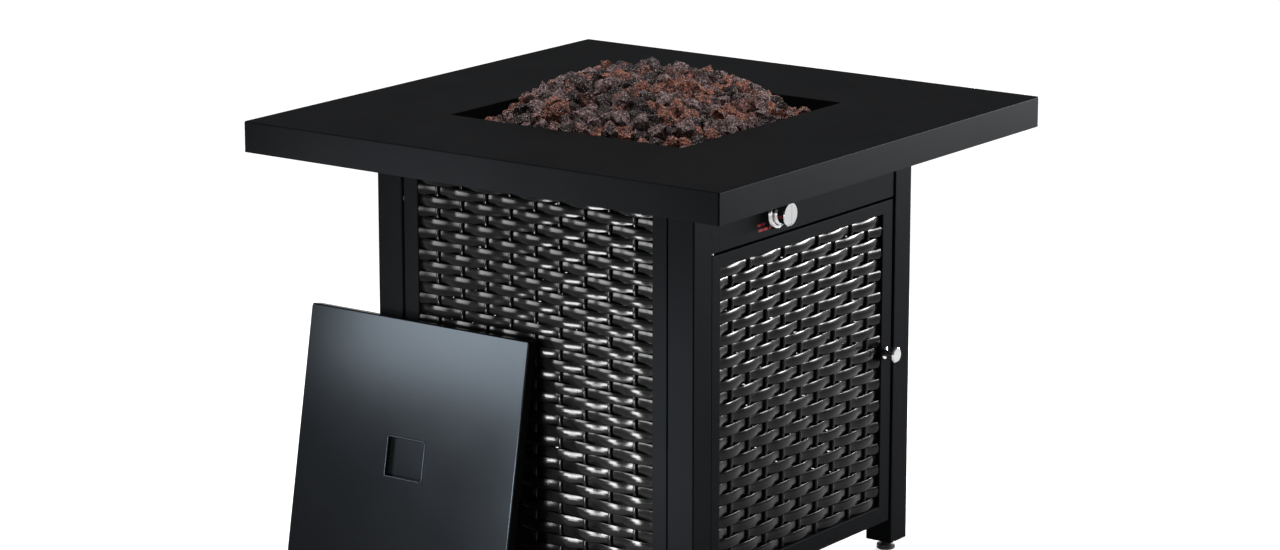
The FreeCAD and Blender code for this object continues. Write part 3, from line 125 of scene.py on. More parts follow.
class Graph:
    """A node tree that is filled node by node, each with its inputs already plugged."""

    def __init__(self, tree: bpy.types.NodeTree) -> None:
        """Wraps a tree.

        Args:
            tree: The node tree to fill.
        """
        self.tree = tree

    def plug(self, socket: bpy.types.NodeSocket, value: Any) -> None:
        """Links a field to a socket, or sets the socket's own value.

        Args:
            socket: An input socket.
            value: A Field, an output socket, or a plain value.
        """
        if isinstance(value, Field):
            value = value.socket
        if isinstance(value, bpy.types.NodeSocket):
            self.tree.links.new(value, socket)
        elif isinstance(value, tuple) and socket.type == "RGBA" and len(value) == 3:
            socket.default_value = (*value, 1.0)
        else:
            socket.default_value = value

    def add(self, kind: str, inputs: Mapping[str | int, Any] | None = None,
            **settings: Any) -> bpy.types.Node:
        """Adds a node.

        Args:
            kind: The node's type name.
            inputs: What each input takes, by the socket's name or number.
            settings: The node's own settings.

        Returns:
            The node.
        """
        node = self.tree.nodes.new(kind)
        for name, value in settings.items():
            setattr(node, name, value)
        for name, value in (inputs or {}).items():
            self.plug(self.enabled(node.inputs, name), value)
        return node

    def get(self, kind: str, inputs: Mapping[str | int, Any] | None = None, output: str | int = 0,
            **settings: Any) -> Field:
        """Adds a node and gives one of its outputs.

        Args:
            kind: The node's type name.
            inputs: What each input takes, by the socket's name or number.
            output: The output's name or number.
            settings: The node's own settings.

        Returns:
            The output as a field.
        """
        return Field(self, self.enabled(self.add(kind, inputs, **settings).outputs, output))

    @staticmethod
    def enabled(sockets: Any, name: str | int) -> bpy.types.NodeSocket:
        """Finds a socket by its name among those in use, or by its number.

        Args:
            sockets: A node's inputs or outputs.
            name: The socket's name or number.

        Returns:
            The socket.
        """
        if isinstance(name, int):
            return sockets[name]
        return next(socket for socket in sockets if socket.name == name and socket.enabled)

    def split(self, vector: Field) -> tuple[Field, Field, Field]:
        """Gives a vector's three parts."""
        node = self.add("ShaderNodeSeparateXYZ", {0: vector})
        return Field(self, node.outputs[0]), Field(self, node.outputs[1]), Field(self, node.outputs[2])

    def vector(self, across: Field | float, along: Field | float, up: Field | float) -> Field:
        """Joins three values into a vector."""
        return self.get("ShaderNodeCombineXYZ", {0: across, 1: along, 2: up})

    def noise(self, place: Field, scale: float, detail: float = 2.0, rough: float = 0.5) -> Field:
        """Gives a noise between 0 and 1.

        Args:
            place: The coordinates that it reads.
            scale: Its lumps for each metre.
            detail: Its finer layers.
            rough: Their strength.

        Returns:
            The noise as a field.
        """
        return self.get("ShaderNodeTexNoise", {"Vector": place, "Scale": scale, "Detail": detail,
                                               "Roughness": rough}, output=0)

    def spread(self, value: Field, low: float, high: float, out_low: float, out_high: float) -> Field:
        """Maps a range of values to another, and holds them inside it.

        Args:
            value: The field to map.
            low: The value that becomes out_low.
            high: The value that becomes out_high.
            out_low: The first result.
            out_high: The last result.

        Returns:
            The mapped field.
        """
        return self.get("ShaderNodeMapRange", {0: value, 1: low, 2: high, 3: out_low, 4: out_high})

    def fade(self, value: Field, edges: Range, first: Any, second: Any) -> Field:
        """Fades from one colour to another as a value crosses a range.

        Args:
            value: The field that is read.
            edges: Where the fade starts and ends.
            first: The colour below the range.
            second: The colour above it.

        Returns:
            The mixed colour.
        """
        return self.blend(self.spread(value, *edges, 0.0, 1.0), first, second)

    def blend(self, share: Field, first: Any, second: Any) -> Field:
        """Mixes two colours by a share.

        Args:
            share: The second colour's share.
            first: A colour or a field.
            second: A colour or a field.

        Returns:
            The mixed colour.
        """
        node = self.add("ShaderNodeMix", data_type="RGBA")
        for number, value in ((0, share), (6, first), (7, second)):
            self.plug(node.inputs[number], value)
        return Field(self, node.outputs[2])


# Finishes


class Surface(Graph):
    """A material's node tree, with its shader and the place that its patterns follow."""

    def __init__(self, tree: bpy.types.NodeTree) -> None:
        """Empties the tree and adds the shader.

        Args:
            tree: The material's node tree.
        """
        super().__init__(tree)
        tree.nodes.clear()
        self.shader = self.add("ShaderNodeBsdfPrincipled")
        self.place = self.get("ShaderNodeTexCoord", output="Object")

    def set(self, values: Mapping[str, Any]) -> None:
        """Links or sets the shader's inputs.

        Args:
            values: What each input takes, by its name.
        """
        for name, value in values.items():
            self.plug(self.shader.inputs[name], value)


@dataclass(frozen=True)
class Finish(ABC):
    """A surface finish, made once as a material and then shared."""

    label: str

    @abstractmethod
    def paint(self, surface: Surface) -> Field:
        """Sets the shader's inputs.

        Args:
            surface: The material to paint.

        Returns:
            The height of the surface in metres.
        """

    def material(self) -> bpy.types.Material:
        """Gives the finish's material, and makes it at the first call.

        Returns:
            The material.
        """
        made = bpy.data.materials.get(self.label)
        if made:
            return made
        made = bpy.data.materials.new(self.label)
        made.use_nodes = True
        surface = Surface(made.node_tree)
        height = self.paint(surface)
        surface.set({"Normal": surface.get("ShaderNodeBump", {
            "Strength": 1.0, "Distance": 1.0, "Height": height})})
        surface.add("ShaderNodeOutputMaterial", {"Surface": surface.shader.outputs[0]})
        return made


@dataclass(frozen=True)
class Moulded(Finish):
    """A moulded or fired surface: plastic, rubber, ceramic or ferrite with faint patches and a fine grain."""

    colour: Colour = (0.02, 0.02, 0.02)
    pale: Colour = (0.03, 0.03, 0.03)
    matt: float = 0.55
    gloss_level: float = 0.5
    matt_play: float = 0.06
    patches_per_metre: float = 70.0
    grain_size: float = 0.0006
    grain_height: float = 6.0e-6

    def paint(self, surface: Surface) -> Field:
        """Sets the surface's patches, sheen and grain.

        Args:
            surface: The material to paint.

        Returns:
            The height of the surface in metres.
        """
        clouds = surface.noise(surface.place, self.patches_per_metre, detail=3.0, rough=0.6)
        surface.set({
            "Base Color": surface.fade(clouds, MIDDLE, self.colour, self.pale),
            "Roughness": surface.spread(clouds, *MIDDLE, self.matt - self.matt_play,
                                        self.matt + self.matt_play),
            "Specular IOR Level": self.gloss_level})
        return surface.noise(surface.place, 1.0 / self.grain_size, detail=1.0, rough=0.4) * self.grain_height


@dataclass(frozen=True)
class PowderCoat(Moulded):
    """Baked powder paint: a satin skin whose grain is a fine orange peel, with a faint blue sheen."""

    colour: Colour = (0.0042, 0.0044, 0.0049)
    pale: Colour = (0.0056, 0.0058, 0.0064)
    matt: float = 0.5
    gloss_level: float = 0.015
    matt_play: float = 0.01
    patches_per_metre: float = 9.0
    grain_size: float = 0.0011
    grain_height: float = 3.0e-6
    sheen_tint: Colour = (0.68, 0.84, 1.0)

    def paint(self, surface: Surface) -> Field:
        """Sets the paint's sheen, on top of its patches and peel.

        Args:
            surface: The material to paint.

        Returns:
            The height of the surface in metres.
        """
        surface.set({"Specular Tint": self.sheen_tint})
        return super().paint(surface)


@dataclass(frozen=True)
class WovenResin(Finish):
    """Extruded black resin strand: glossy, with drawn lines along it."""

    colour: Colour = (0.0022, 0.0022, 0.0023)
    pale: Colour = (0.0040, 0.0040, 0.0042)
    worn_per_metre: float = 55.0
    worn_range: Range = (0.35, 0.65)
    glossiest: float = 0.10
    dullest: float = 0.22
    gloss_level: float = 0.14
    line_waves: float = 28.0
    line_size: float = 0.0009
    line_height: float = 2.2e-5

    def paint(self, surface: Surface) -> Field:
        """Sets the strands' colour, gloss and drawn lines, which follow each strand.

        Args:
            surface: The material to paint.

        Returns:
            The height of the surface in metres.
        """
        strand = surface.get("ShaderNodeAttribute", output="Vector", attribute_name="strand")
        along, around, lane = surface.split(strand)
        drawn = surface.vector(along * self.line_waves, around / self.line_size, lane)
        lines = surface.noise(drawn, 1.0, rough=0.6)
        worn = surface.noise(surface.place, self.worn_per_metre)
        surface.set({
            "Base Color": surface.fade(worn, self.worn_range, self.colour, self.pale),
            "Roughness": surface.spread(lines, *MIDDLE, self.glossiest, self.dullest),
            "Specular IOR Level": self.gloss_level})
        return lines * self.line_height


@dataclass(frozen=True)
class BareMetal(Finish):
    """Plated, drawn or machined metal with faint lines and handling marks."""

    colour: Colour = (0.55, 0.55, 0.54)
    shade: float = 0.75
    smooth: float = 0.3
    streak: Point = (60.0, 60.0, 900.0)
    streak_height: float = 1.5e-6
    marks_per_metre: float = 120.0
    smooth_play: Range = (1.2, 0.85)

    def paint(self, surface: Surface) -> Field:
        """Sets the metal's colour, sheen and lines.

        Args:
            surface: The material to paint.

        Returns:
            The height of the surface in metres.
        """
        stretched = surface.get("ShaderNodeMapping", {"Vector": surface.place, "Scale": self.streak})
        lines = surface.noise(stretched, 1.0, detail=3.0, rough=0.6)
        marks = surface.noise(surface.place, self.marks_per_metre, detail=3.0, rough=0.6)
        dim = tuple(part * self.shade for part in self.colour)
        surface.set({
            "Base Color": surface.fade(marks, MIDDLE, dim, self.colour),
            "Roughness": surface.spread(marks, *MIDDLE, *(self.smooth * part for part in self.smooth_play)),
            "Metallic": 1.0})
        return lines * self.streak_height


@dataclass(frozen=True)
class LavaStone(Finish):
    """Rough volcanic stone, each stone of its own colour, full of pores, with painted shade in its low crags
    and pores and pale specks on its raised grit that are partly dust and partly painted highlight.
    """

    rust: Colour = (0.300, 0.105, 0.065)
    plum: Colour = (0.230, 0.150, 0.150)
    # The char colour is also the painted shade in the low crags and the pits of the pores.
    char_and_painted_shade: Colour = (0.036, 0.028, 0.028)
    # Pale specks on the raised grit: partly dust, partly painted highlight.
    dust_and_highlight: Colour = (0.75, 0.62, 0.60)
    char_to_rust: Range = (0.30, 0.36)
    rust_to_plum: Range = (0.64, 0.70)
    crags_per_metre: float = 230.0
    crag_shade_range: Range = (0.44, 0.58)
    crag_height_share: float = 1.5
    grit_per_metre: float = 520.0
    grit_range: Range = (0.57, 0.66)
    dust_and_highlight_share: float = 0.85
    grit_share: float = 0.5
    pore_size: float = 0.0034
    pore_range: Range = (0.05, 0.5)
    pore_depth: float = 0.0009
    matt: float = 0.9
    gloss_level: float = 0.04

    def paint(self, surface: Surface) -> Field:
        """Sets the stones' colours and pores, with painted shade in the low crags and in the pits of the
        pores, and pale specks on the raised grit that are partly dust and partly painted highlight.

        Args:
            surface: The material to paint.

        Returns:
            The height of the surface in metres.
        """
        tint = surface.get("ShaderNodeAttribute", output="Fac", attribute_name="tint")
        base = surface.fade(tint, self.char_to_rust, self.char_and_painted_shade, self.rust)
        base = surface.fade(tint, self.rust_to_plum, base, self.plum)
        crags = surface.noise(surface.place, self.crags_per_metre, detail=5.0, rough=0.75)
        # Painted shade: the low crags, which the bump sinks, fade to char.
        base = surface.fade(crags, self.crag_shade_range, self.char_and_painted_shade, base)
        pores = surface.get("ShaderNodeTexVoronoi", {"Vector": surface.place, "Scale": 1.0 / self.pore_size},
                            output="Distance")
        open_pore = surface.spread(pores, *self.pore_range, 0.0, 1.0)
        grit = surface.noise(surface.place, self.grit_per_metre, detail=4.0, rough=0.7)
        # Pale specks on the raised grit, partly dust and partly painted highlight.
        base = surface.blend(surface.spread(grit, *self.grit_range, 0.0, self.dust_and_highlight_share), base, self.dust_and_highlight)
        # Painted shade: the pits of the pores, which the bump sinks, are char.
        surface.set({"Base Color": surface.blend(open_pore, self.char_and_painted_shade, base), "Roughness": self.matt,
                     "Specular IOR Level": self.gloss_level})
        return (open_pore + crags * self.crag_height_share + grit * self.grit_share) * self.pore_depth


@dataclass(frozen=True)
class StudioPaper(Finish):
    """The plain pale floor, whose white backdrop shows to the camera and in reflections."""

    colour: Colour = (0.55, 0.55, 0.55)
    shade: float = 0.985
    patches_per_metre: float = 3.0
    matt: float = 0.9
    gloss_level: float = 0.1
    tooth_per_metre: float = 600.0
    tooth_height: float = 1.0e-5
    near: float = 0.9
    far: float = 3.5
    near_white: float = 0.7
    near_mirror: float = 0.0

    def paint(self, surface: Surface) -> Field:
        """Sets a pale floor with a faint tooth; to the camera and in reflections it also glows white, the
        glow fading out towards the table.

        Args:
            surface: The material to paint.

        Returns:
            The height of the surface in metres.
        """
        clouds = surface.noise(surface.place, self.patches_per_metre)
        dim = tuple(part * self.shade for part in self.colour)
        away = surface.get("ShaderNodeVectorMath", {0: surface.place}, output="Value", operation="LENGTH")
        rays = surface.add("ShaderNodeLightPath")
        seen = (surface.spread(away, self.near, self.far, self.near_white, 1.0)
                * Field(surface, rays.outputs["Is Camera Ray"]))
        mirrored = (surface.spread(away, self.near, self.far, self.near_mirror, 1.0)
                    * Field(surface, rays.outputs["Is Glossy Ray"]))
        surface.set({
            "Base Color": surface.blend(clouds, dim, self.colour), "Roughness": self.matt,
            "Specular IOR Level": self.gloss_level, "Emission Color": (1.0, 1.0, 1.0),
            "Emission Strength": seen + mirrored})
        return surface.noise(surface.place, self.tooth_per_metre, detail=1.0, rough=0.4) * self.tooth_height


COAT = PowderCoat("satin_powder_coat")
LID_COAT = PowderCoat("lid_powder_coat", (0.0026, 0.0028, 0.0032), (0.0036, 0.0038, 0.0043),
                      matt=0.24, gloss_level=0.18)
TOP_COAT = PowderCoat("top_powder_coat", (0.0062, 0.0064, 0.0070), (0.0084, 0.0086, 0.0093),
                      matt=0.42, gloss_level=0.02)
RESIN = WovenResin("woven_resin")
CHROME = BareMetal("bright_chrome", (0.82, 0.82, 0.83), shade=0.96, smooth=0.06,
                   streak=(300.0, 300.0, 300.0), streak_height=2.0e-7)
ZINC = BareMetal("zinc_plate", (0.58, 0.58, 0.56), shade=0.8, smooth=0.34)
STAINLESS = BareMetal("brushed_stainless", (0.60, 0.59, 0.57), shade=0.85, smooth=0.30)
BRASS = BareMetal("machined_brass", (0.74, 0.54, 0.25), shade=0.8, smooth=0.26)
ALUMINIUM = BareMetal("drawn_aluminium", (0.72, 0.72, 0.74), shade=0.88, smooth=0.32)
CERAMIC = Moulded("white_insulator", (0.78, 0.76, 0.71), (0.84, 0.82, 0.78), matt=0.32)
FERRITE = Moulded("grey_ferrite", (0.09, 0.085, 0.085), (0.13, 0.12, 0.12), matt=0.5)
PLASTIC = Moulded("moulded_plastic", (0.016, 0.016, 0.016), (0.026, 0.026, 0.026), matt=0.5)
SLEEVE = Moulded("rubber_sleeve", (0.025, 0.025, 0.025), (0.04, 0.04, 0.04), matt=0.7)
RED_PRINT = Moulded("red_print", (0.20, 0.006, 0.010), (0.26, 0.008, 0.014), matt=0.6, gloss_level=0.1)
STONE = LavaStone("porous_lava")
PAPER = StudioPaper("studio_paper")

CORNERS = ("front_left", "front_right", "back_left", "back_right")
NODE_FINISHES: dict[Finish, tuple[str, ...]] = {
    COAT: (*(f"corner_post_{corner}" for corner in CORNERS),
           *(f"top_rail_{side}" for side in ("front", "back", "left", "right")),
           *(f"side_frame_{side}" for side in ("left", "back", "right")),
           "control_panel", "door_frame", "base_plate", "bottle_ring", "hinge_bracket", "burner_pan"),
    TOP_COAT: ("table_top",),
    LID_COAT: ("lid_panel", "lid_handle_cup"),
    CHROME: ("door_knob", "knob_bezel", "control_knob"),
    ZINC: ("top_stiffeners", "top_bolts", "frame_screws", "door_knob_screw", "hinge_pin", "hinge_blocks",
           "strike_plate", "heat_shield", "shield_studs", "bottle_screw", "valve_stem", "stem_collar"),
    STAINLESS: ("burner_ring", "pilot_hood", "thermocouple"),
    BRASS: ("air_mixer", "gas_valve", "valve_nut", "line_nuts"),
    CERAMIC: ("ignition_electrode",),
    FERRITE: ("door_magnet",),
    PLASTIC: ("post_plugs", "piezo_igniter", *(f"levelling_foot_{corner}" for corner in CORNERS)),
    ALUMINIUM: ("gas_line",),
    SLEEVE: ("thermocouple_lead", "igniter_lead"),
}


# Baking


SOCKET_KINDS = {float: "NodeSocketFloat", int: "NodeSocketInt", bpy.types.Material: "NodeSocketMaterial"}


def in_scene(name: str, data: bpy.types.ID) -> bpy.types.Object:
    """Puts a new object into the scene.

    Args:
        name: The object's name.
        data: Its mesh, lamp or camera.

    Returns:
        The object.
    """
    made = bpy.data.objects.new(name, data)
    bpy.context.scene.collection.objects.link(made)
    return made


class FormTree(Graph):
    """A geometry node tree with named inputs, which is baked into plain meshes."""

    def __init__(self, name: str, values: Mapping[str, Any]) -> None:
        """Makes the tree with an input for each named value, of that value's kind.

        Args:
            name: The tree's name.
            values: What the inputs may be set to, by their names. One of them is the form's material.
        """
        super().__init__(bpy.data.node_groups.new(name, "GeometryNodeTree"))
        face = self.tree.interface
        face.new_socket("Geometry", in_out="OUTPUT", socket_type="NodeSocketGeometry")
        self.sockets = {
            key: face.new_socket(key, in_out="INPUT", socket_type=SOCKET_KINDS[type(value)]).identifier
            for key, value in values.items()}
        self.source = self.add("NodeGroupInput")

    def __getitem__(self, name: str) -> Field:
        """Gives one of the named inputs as a field."""
        return Field(self, self.source.outputs[name])

    def end(self, geometry: Field, smooth: bool) -> None:
        """Shades and realizes the geometry, gives it the finish and ends the tree.

        Args:
            geometry: What the tree has made.
            smooth: Whether its faces are shaded smooth.
        """
        shaded = self.get("GeometryNodeSetShadeSmooth", {"Geometry": geometry, "Shade Smooth": smooth})
        real = self.get("GeometryNodeRealizeInstances", {0: shaded})
        dressed = self.get("GeometryNodeSetMaterial", {"Geometry": real, "Material": self["Finish"]})
        self.add("NodeGroupOutput", {0: dressed})

    def bake(self, name: str, values: Mapping[str, Any]) -> bpy.types.Object:
        """Runs the tree and keeps its result as a plain mesh.

        Args:
            name: The new piece's name.
            values: What each named input is set to.

        Returns:
            The piece, at the origin.
        """
        piece = in_scene(name, bpy.data.meshes.new(name))
        modifier = piece.modifiers.new("form", "NODES")
        modifier.node_group = self.tree
        for key, value in values.items():
            modifier[self.sockets[key]] = value
        depsgraph = bpy.context.evaluated_depsgraph_get()
        mesh = bpy.data.meshes.new_from_object(
            piece.evaluated_get(depsgraph), preserve_all_data_layers=True, depsgraph=depsgraph)
        piece.modifiers.remove(modifier)
        for number in reversed([number for number, made in enumerate(mesh.materials) if made is None]):
            mesh.materials.pop(index=number)
        piece.data = mesh
        mesh.name = name
        return piece


# Woven panels


class Side(Enum):
    """The side of the table that a woven panel faces, with its quarter turns from the front."""

    DOOR = 0
    LEFT = -1
    BACK = 2
    RIGHT = 1


@dataclass
class WovenPanels:
    """The woven resin skins of the three fixed frames and of the door.

    A strand or stake starts as a round blank tube, and each point is then moved to its place in the weave.
    The attribute named strand keeps the way along it, the way around it and what tells it from the others.
    """

    stake_pitch: float = 0.0375
    strand_pitch: float = 0.014
    strand_height: float = 0.0148
    strand_bulge: float = 0.0015
    strand_back: float = 0.0005
    swing_out: float = 0.0018
    swing_in: float = 0.0021
    stake_width: float = 0.0054
    stake_thickness: float = 0.0026
    stake_swing: float = 0.0011
    stakes: int = 9
    steps_per_stake: int = 8
    steps_per_strand: float = 6.0
    blank_sides: int = 12
    strand_blank: float = 0.4
    stake_blank: float = 0.3
    wander: float = 0.0008
    wander_waves: float = 9.0
    wander_rows: float = 1.7
    phase_rows: float = 3.71
    phase_play: float = 0.09
    dwell: float = 0.2
    bulge_play: float = 0.2
    height_play: float = 0.1
    strand_girth: float = 0.0065
    strand_lane: float = 5.3
    stake_girth: float = 0.0026
    stake_lane: float = 170.0
    seed: float = 3.3
    nodes: dict[Side, tuple[str, str]] = field(default_factory=lambda: {
        Side.DOOR: ("door_wicker", "door"), Side.LEFT: ("wicker_left", "table"),
        Side.BACK: ("wicker_back", "table"), Side.RIGHT: ("wicker_right", "table")})

    def tree(self, values: Mapping[str, Any]) -> FormTree:
        """Builds the weave: level strands that swing before and behind upright stakes.

        Args:
            values: One panel's values for the tree's inputs.

        Returns:
            The tree.
        """
        form = FormTree("woven_skin", values)
        both = form.add("GeometryNodeJoinGeometry")
        for part in (self.stakes_of(form), self.strands_of(form)):
            form.plug(both.inputs[0], part)
        form.end(Field(form, both.outputs[0]), smooth=True)
        return form

    def tubes(self, form: FormTree, start: Field, end: Field, steps: Field, radius: Field, count: Field,
              first: Field, offset: Field) -> Field:
        """Makes a row of straight closed tubes.

        Args:
            form: The weave's tree.
            start: One end of the first tube.
            end: Its other end.
            steps: The points along each tube.
            radius: The tubes' radius.
            count: How many tubes there are.
            first: Where the first one stands.
            offset: The way from one tube to the next.

        Returns:
            The tubes as geometry.
        """
        line = form.get("GeometryNodeCurvePrimitiveLine", {"Start": start, "End": end})
        line = form.get("GeometryNodeResampleCurve", {"Curve": line, "Count": steps})
        ring = form.get("GeometryNodeCurvePrimitiveCircle", {
            "Resolution": self.blank_sides, "Radius": radius})
        tube = form.get("GeometryNodeCurveToMesh", {"Curve": line, "Profile Curve": ring, "Fill Caps": True})
        spots = form.get("GeometryNodeMeshLine", {"Count": count, "Start Location": first, "Offset": offset})
        row = form.get("GeometryNodeInstanceOnPoints", {"Points": spots, "Instance": tube})
        return form.get("GeometryNodeRealizeInstances", {0: row})

    @staticmethod
    def placed(form: FormTree, tubes: Field, place: Field, strand: Field) -> Field:
        """Moves the tubes' points to their places and marks them.

        Args:
            form: The weave's tree.
            tubes: The blank tubes.
            place: Each point's place in the weave.
            strand: What its strand attribute says.

        Returns:
            The tubes as geometry.
        """
        moved = form.get("GeometryNodeSetPosition", {"Geometry": tubes, "Position": place})
        return form.get("GeometryNodeStoreNamedAttribute", {
            "Geometry": moved, "Name": "strand", "Value": strand}, data_type="FLOAT_VECTOR", domain="POINT")

    def strands_of(self, form: FormTree) -> Field:
        """Makes the level strands.

        Args:
            form: The weave's tree.

        Returns:
            The strands as geometry.
        """
        half = form["Width"] * 0.5
        pitch = form["Strand Pitch"]
        radius = pitch * self.strand_blank
        tubes = self.tubes(form, form.vector(half * -1.0, 0.0, 0.0), form.vector(half, 0.0, 0.0),
                           form["Steps"], radius, form["Rows"], form.vector(0.0, 0.0, pitch * 0.5),
                           form.vector(0.0, 0.0, pitch))
        across, depth, up = form.split(form.get("GeometryNodeInputPosition"))
        row = (up / pitch).math("FLOOR")
        centre = (row + 0.5) * pitch
        high = (up - centre) / radius
        deep = depth / radius
        spot = form.vector(across * self.wander_waves, row * self.wander_rows, form["Seed"])
        wander = form.noise(spot, 1.0, detail=1.0) - 0.5
        lane = form.vector(row * self.phase_rows, form["Seed"], 0.0)
        phase = (form.noise(lane, 1.0, detail=0.0) - 0.5) * self.phase_play
        beat = ((across / form["Stake Pitch"] + row + phase) * math.pi).math("COSINE")
        front = (beat * (beat * beat * -self.dwell + (1.0 + self.dwell))) * 0.5 + 0.5
        swing = front * (form["Swing Out"] + form["Swing In"]) - form["Swing In"]
        facing = deep.math("LESS_THAN", 0.0)
        swell = (facing * form["Bulge"] * (front * self.bulge_play + (1.0 - self.bulge_play))
                 + (facing * -1.0 + 1.0) * form["Back"])
        tall = form["Strand Height"] * (front * self.height_play + (1.0 - self.height_play)) * 0.5
        place = form.vector(across, deep * deep.math("ABSOLUTE") * swell - swing,
                            centre + high * tall + wander * self.wander)
        strand = form.vector(across, high * self.strand_girth, row * self.strand_lane)
        return self.placed(form, tubes, place, strand)

    def stakes_of(self, form: FormTree) -> Field:
        """Makes the upright stakes.

        Args:
            form: The weave's tree.

        Returns:
            The stakes as geometry.
        """
        pitch = form["Stake Pitch"]
        radius = pitch * self.stake_blank
        tubes = self.tubes(form, form.vector(0.0, 0.0, 0.0), form.vector(0.0, 0.0, form["Height"]),
                           form["Rows"] * self.steps_per_strand + 1.0, radius, form["Stakes"],
                           form.vector((form["Stakes"] - 1.0) * pitch * -0.5, 0.0, 0.0),
                           form.vector(pitch, 0.0, 0.0))
        across, depth, up = form.split(form.get("GeometryNodeInputPosition"))
        column = (across / pitch + 0.5).math("FLOOR")
        middle = column * pitch
        wide = (across - middle) / radius
        deep = depth / radius
        wave = (up / form["Strand Pitch"] - 0.5 + column + 1.0) * math.pi
        swing = wave.math("COSINE") * form["Stake Swing"]
        crest = deep * deep.math("ABSOLUTE") * (wide * wide + 1.0)
        place = form.vector(middle + wide * form["Stake Width"] * 0.5,
                            crest * form["Stake Thickness"] * 0.5 - swing, up)
        strand = form.vector(up, wide * self.stake_girth, middle * self.stake_lane)
        return self.placed(form, tubes, place, strand)

    def build(self) -> list[bpy.types.Object]:
        """Weaves each panel into its frame.

        Returns:
            The pieces.
        """
        panels = {side: self.values(side) for side in self.nodes}
        form = self.tree(panels[Side.DOOR])
        return [self.weave(form, side, values) for side, values in panels.items()]

    def values(self, side: Side) -> dict[str, Any]:
        """Gives the values of the tree's inputs for one panel.

        Args:
            side: The side that the panel faces.

        Returns:
            The values by their inputs' names.
        """
        low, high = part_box(self.nodes[side][0])
        wide = max(high.x - low.x, high.y - low.y)
        tall = high.z - low.z
        rows = round(tall / self.strand_pitch)
        return {
            "Width": wide, "Height": tall, "Rows": rows, "Strand Pitch": tall / rows,
            "Stake Pitch": self.stake_pitch, "Stakes": self.stakes, "Strand Height": self.strand_height,
            "Bulge": self.strand_bulge, "Back": self.strand_back, "Swing Out": self.swing_out,
            "Swing In": self.swing_in, "Stake Width": self.stake_width,
            "Stake Thickness": self.stake_thickness, "Stake Swing": self.stake_swing,
            "Steps": round(wide / self.stake_pitch * self.steps_per_stake) + 1,
            "Seed": self.seed + side.value, "Finish": RESIN.material()}

    def weave(self, form: FormTree, side: Side, values: Mapping[str, Any]) -> bpy.types.Object:
        """Weaves one panel in the place of its node.

        Args:
            form: The weave's tree.
            side: The side that the panel faces.
            values: The values of the tree's inputs.

        Returns:
            The piece.
        """
        node, body = self.nodes[side]
        low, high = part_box(node)
        piece = form.bake(f"{node}_weave", values)
        middle = (low + high) / 2
        place = Matrix.Translation((middle.x, middle.y, low.z))
        piece.data.transform(place @ Matrix.Rotation(side.value * math.pi / 2, 4, "Z"))
        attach(piece, body)
        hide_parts(node)
        return piece


# Burner


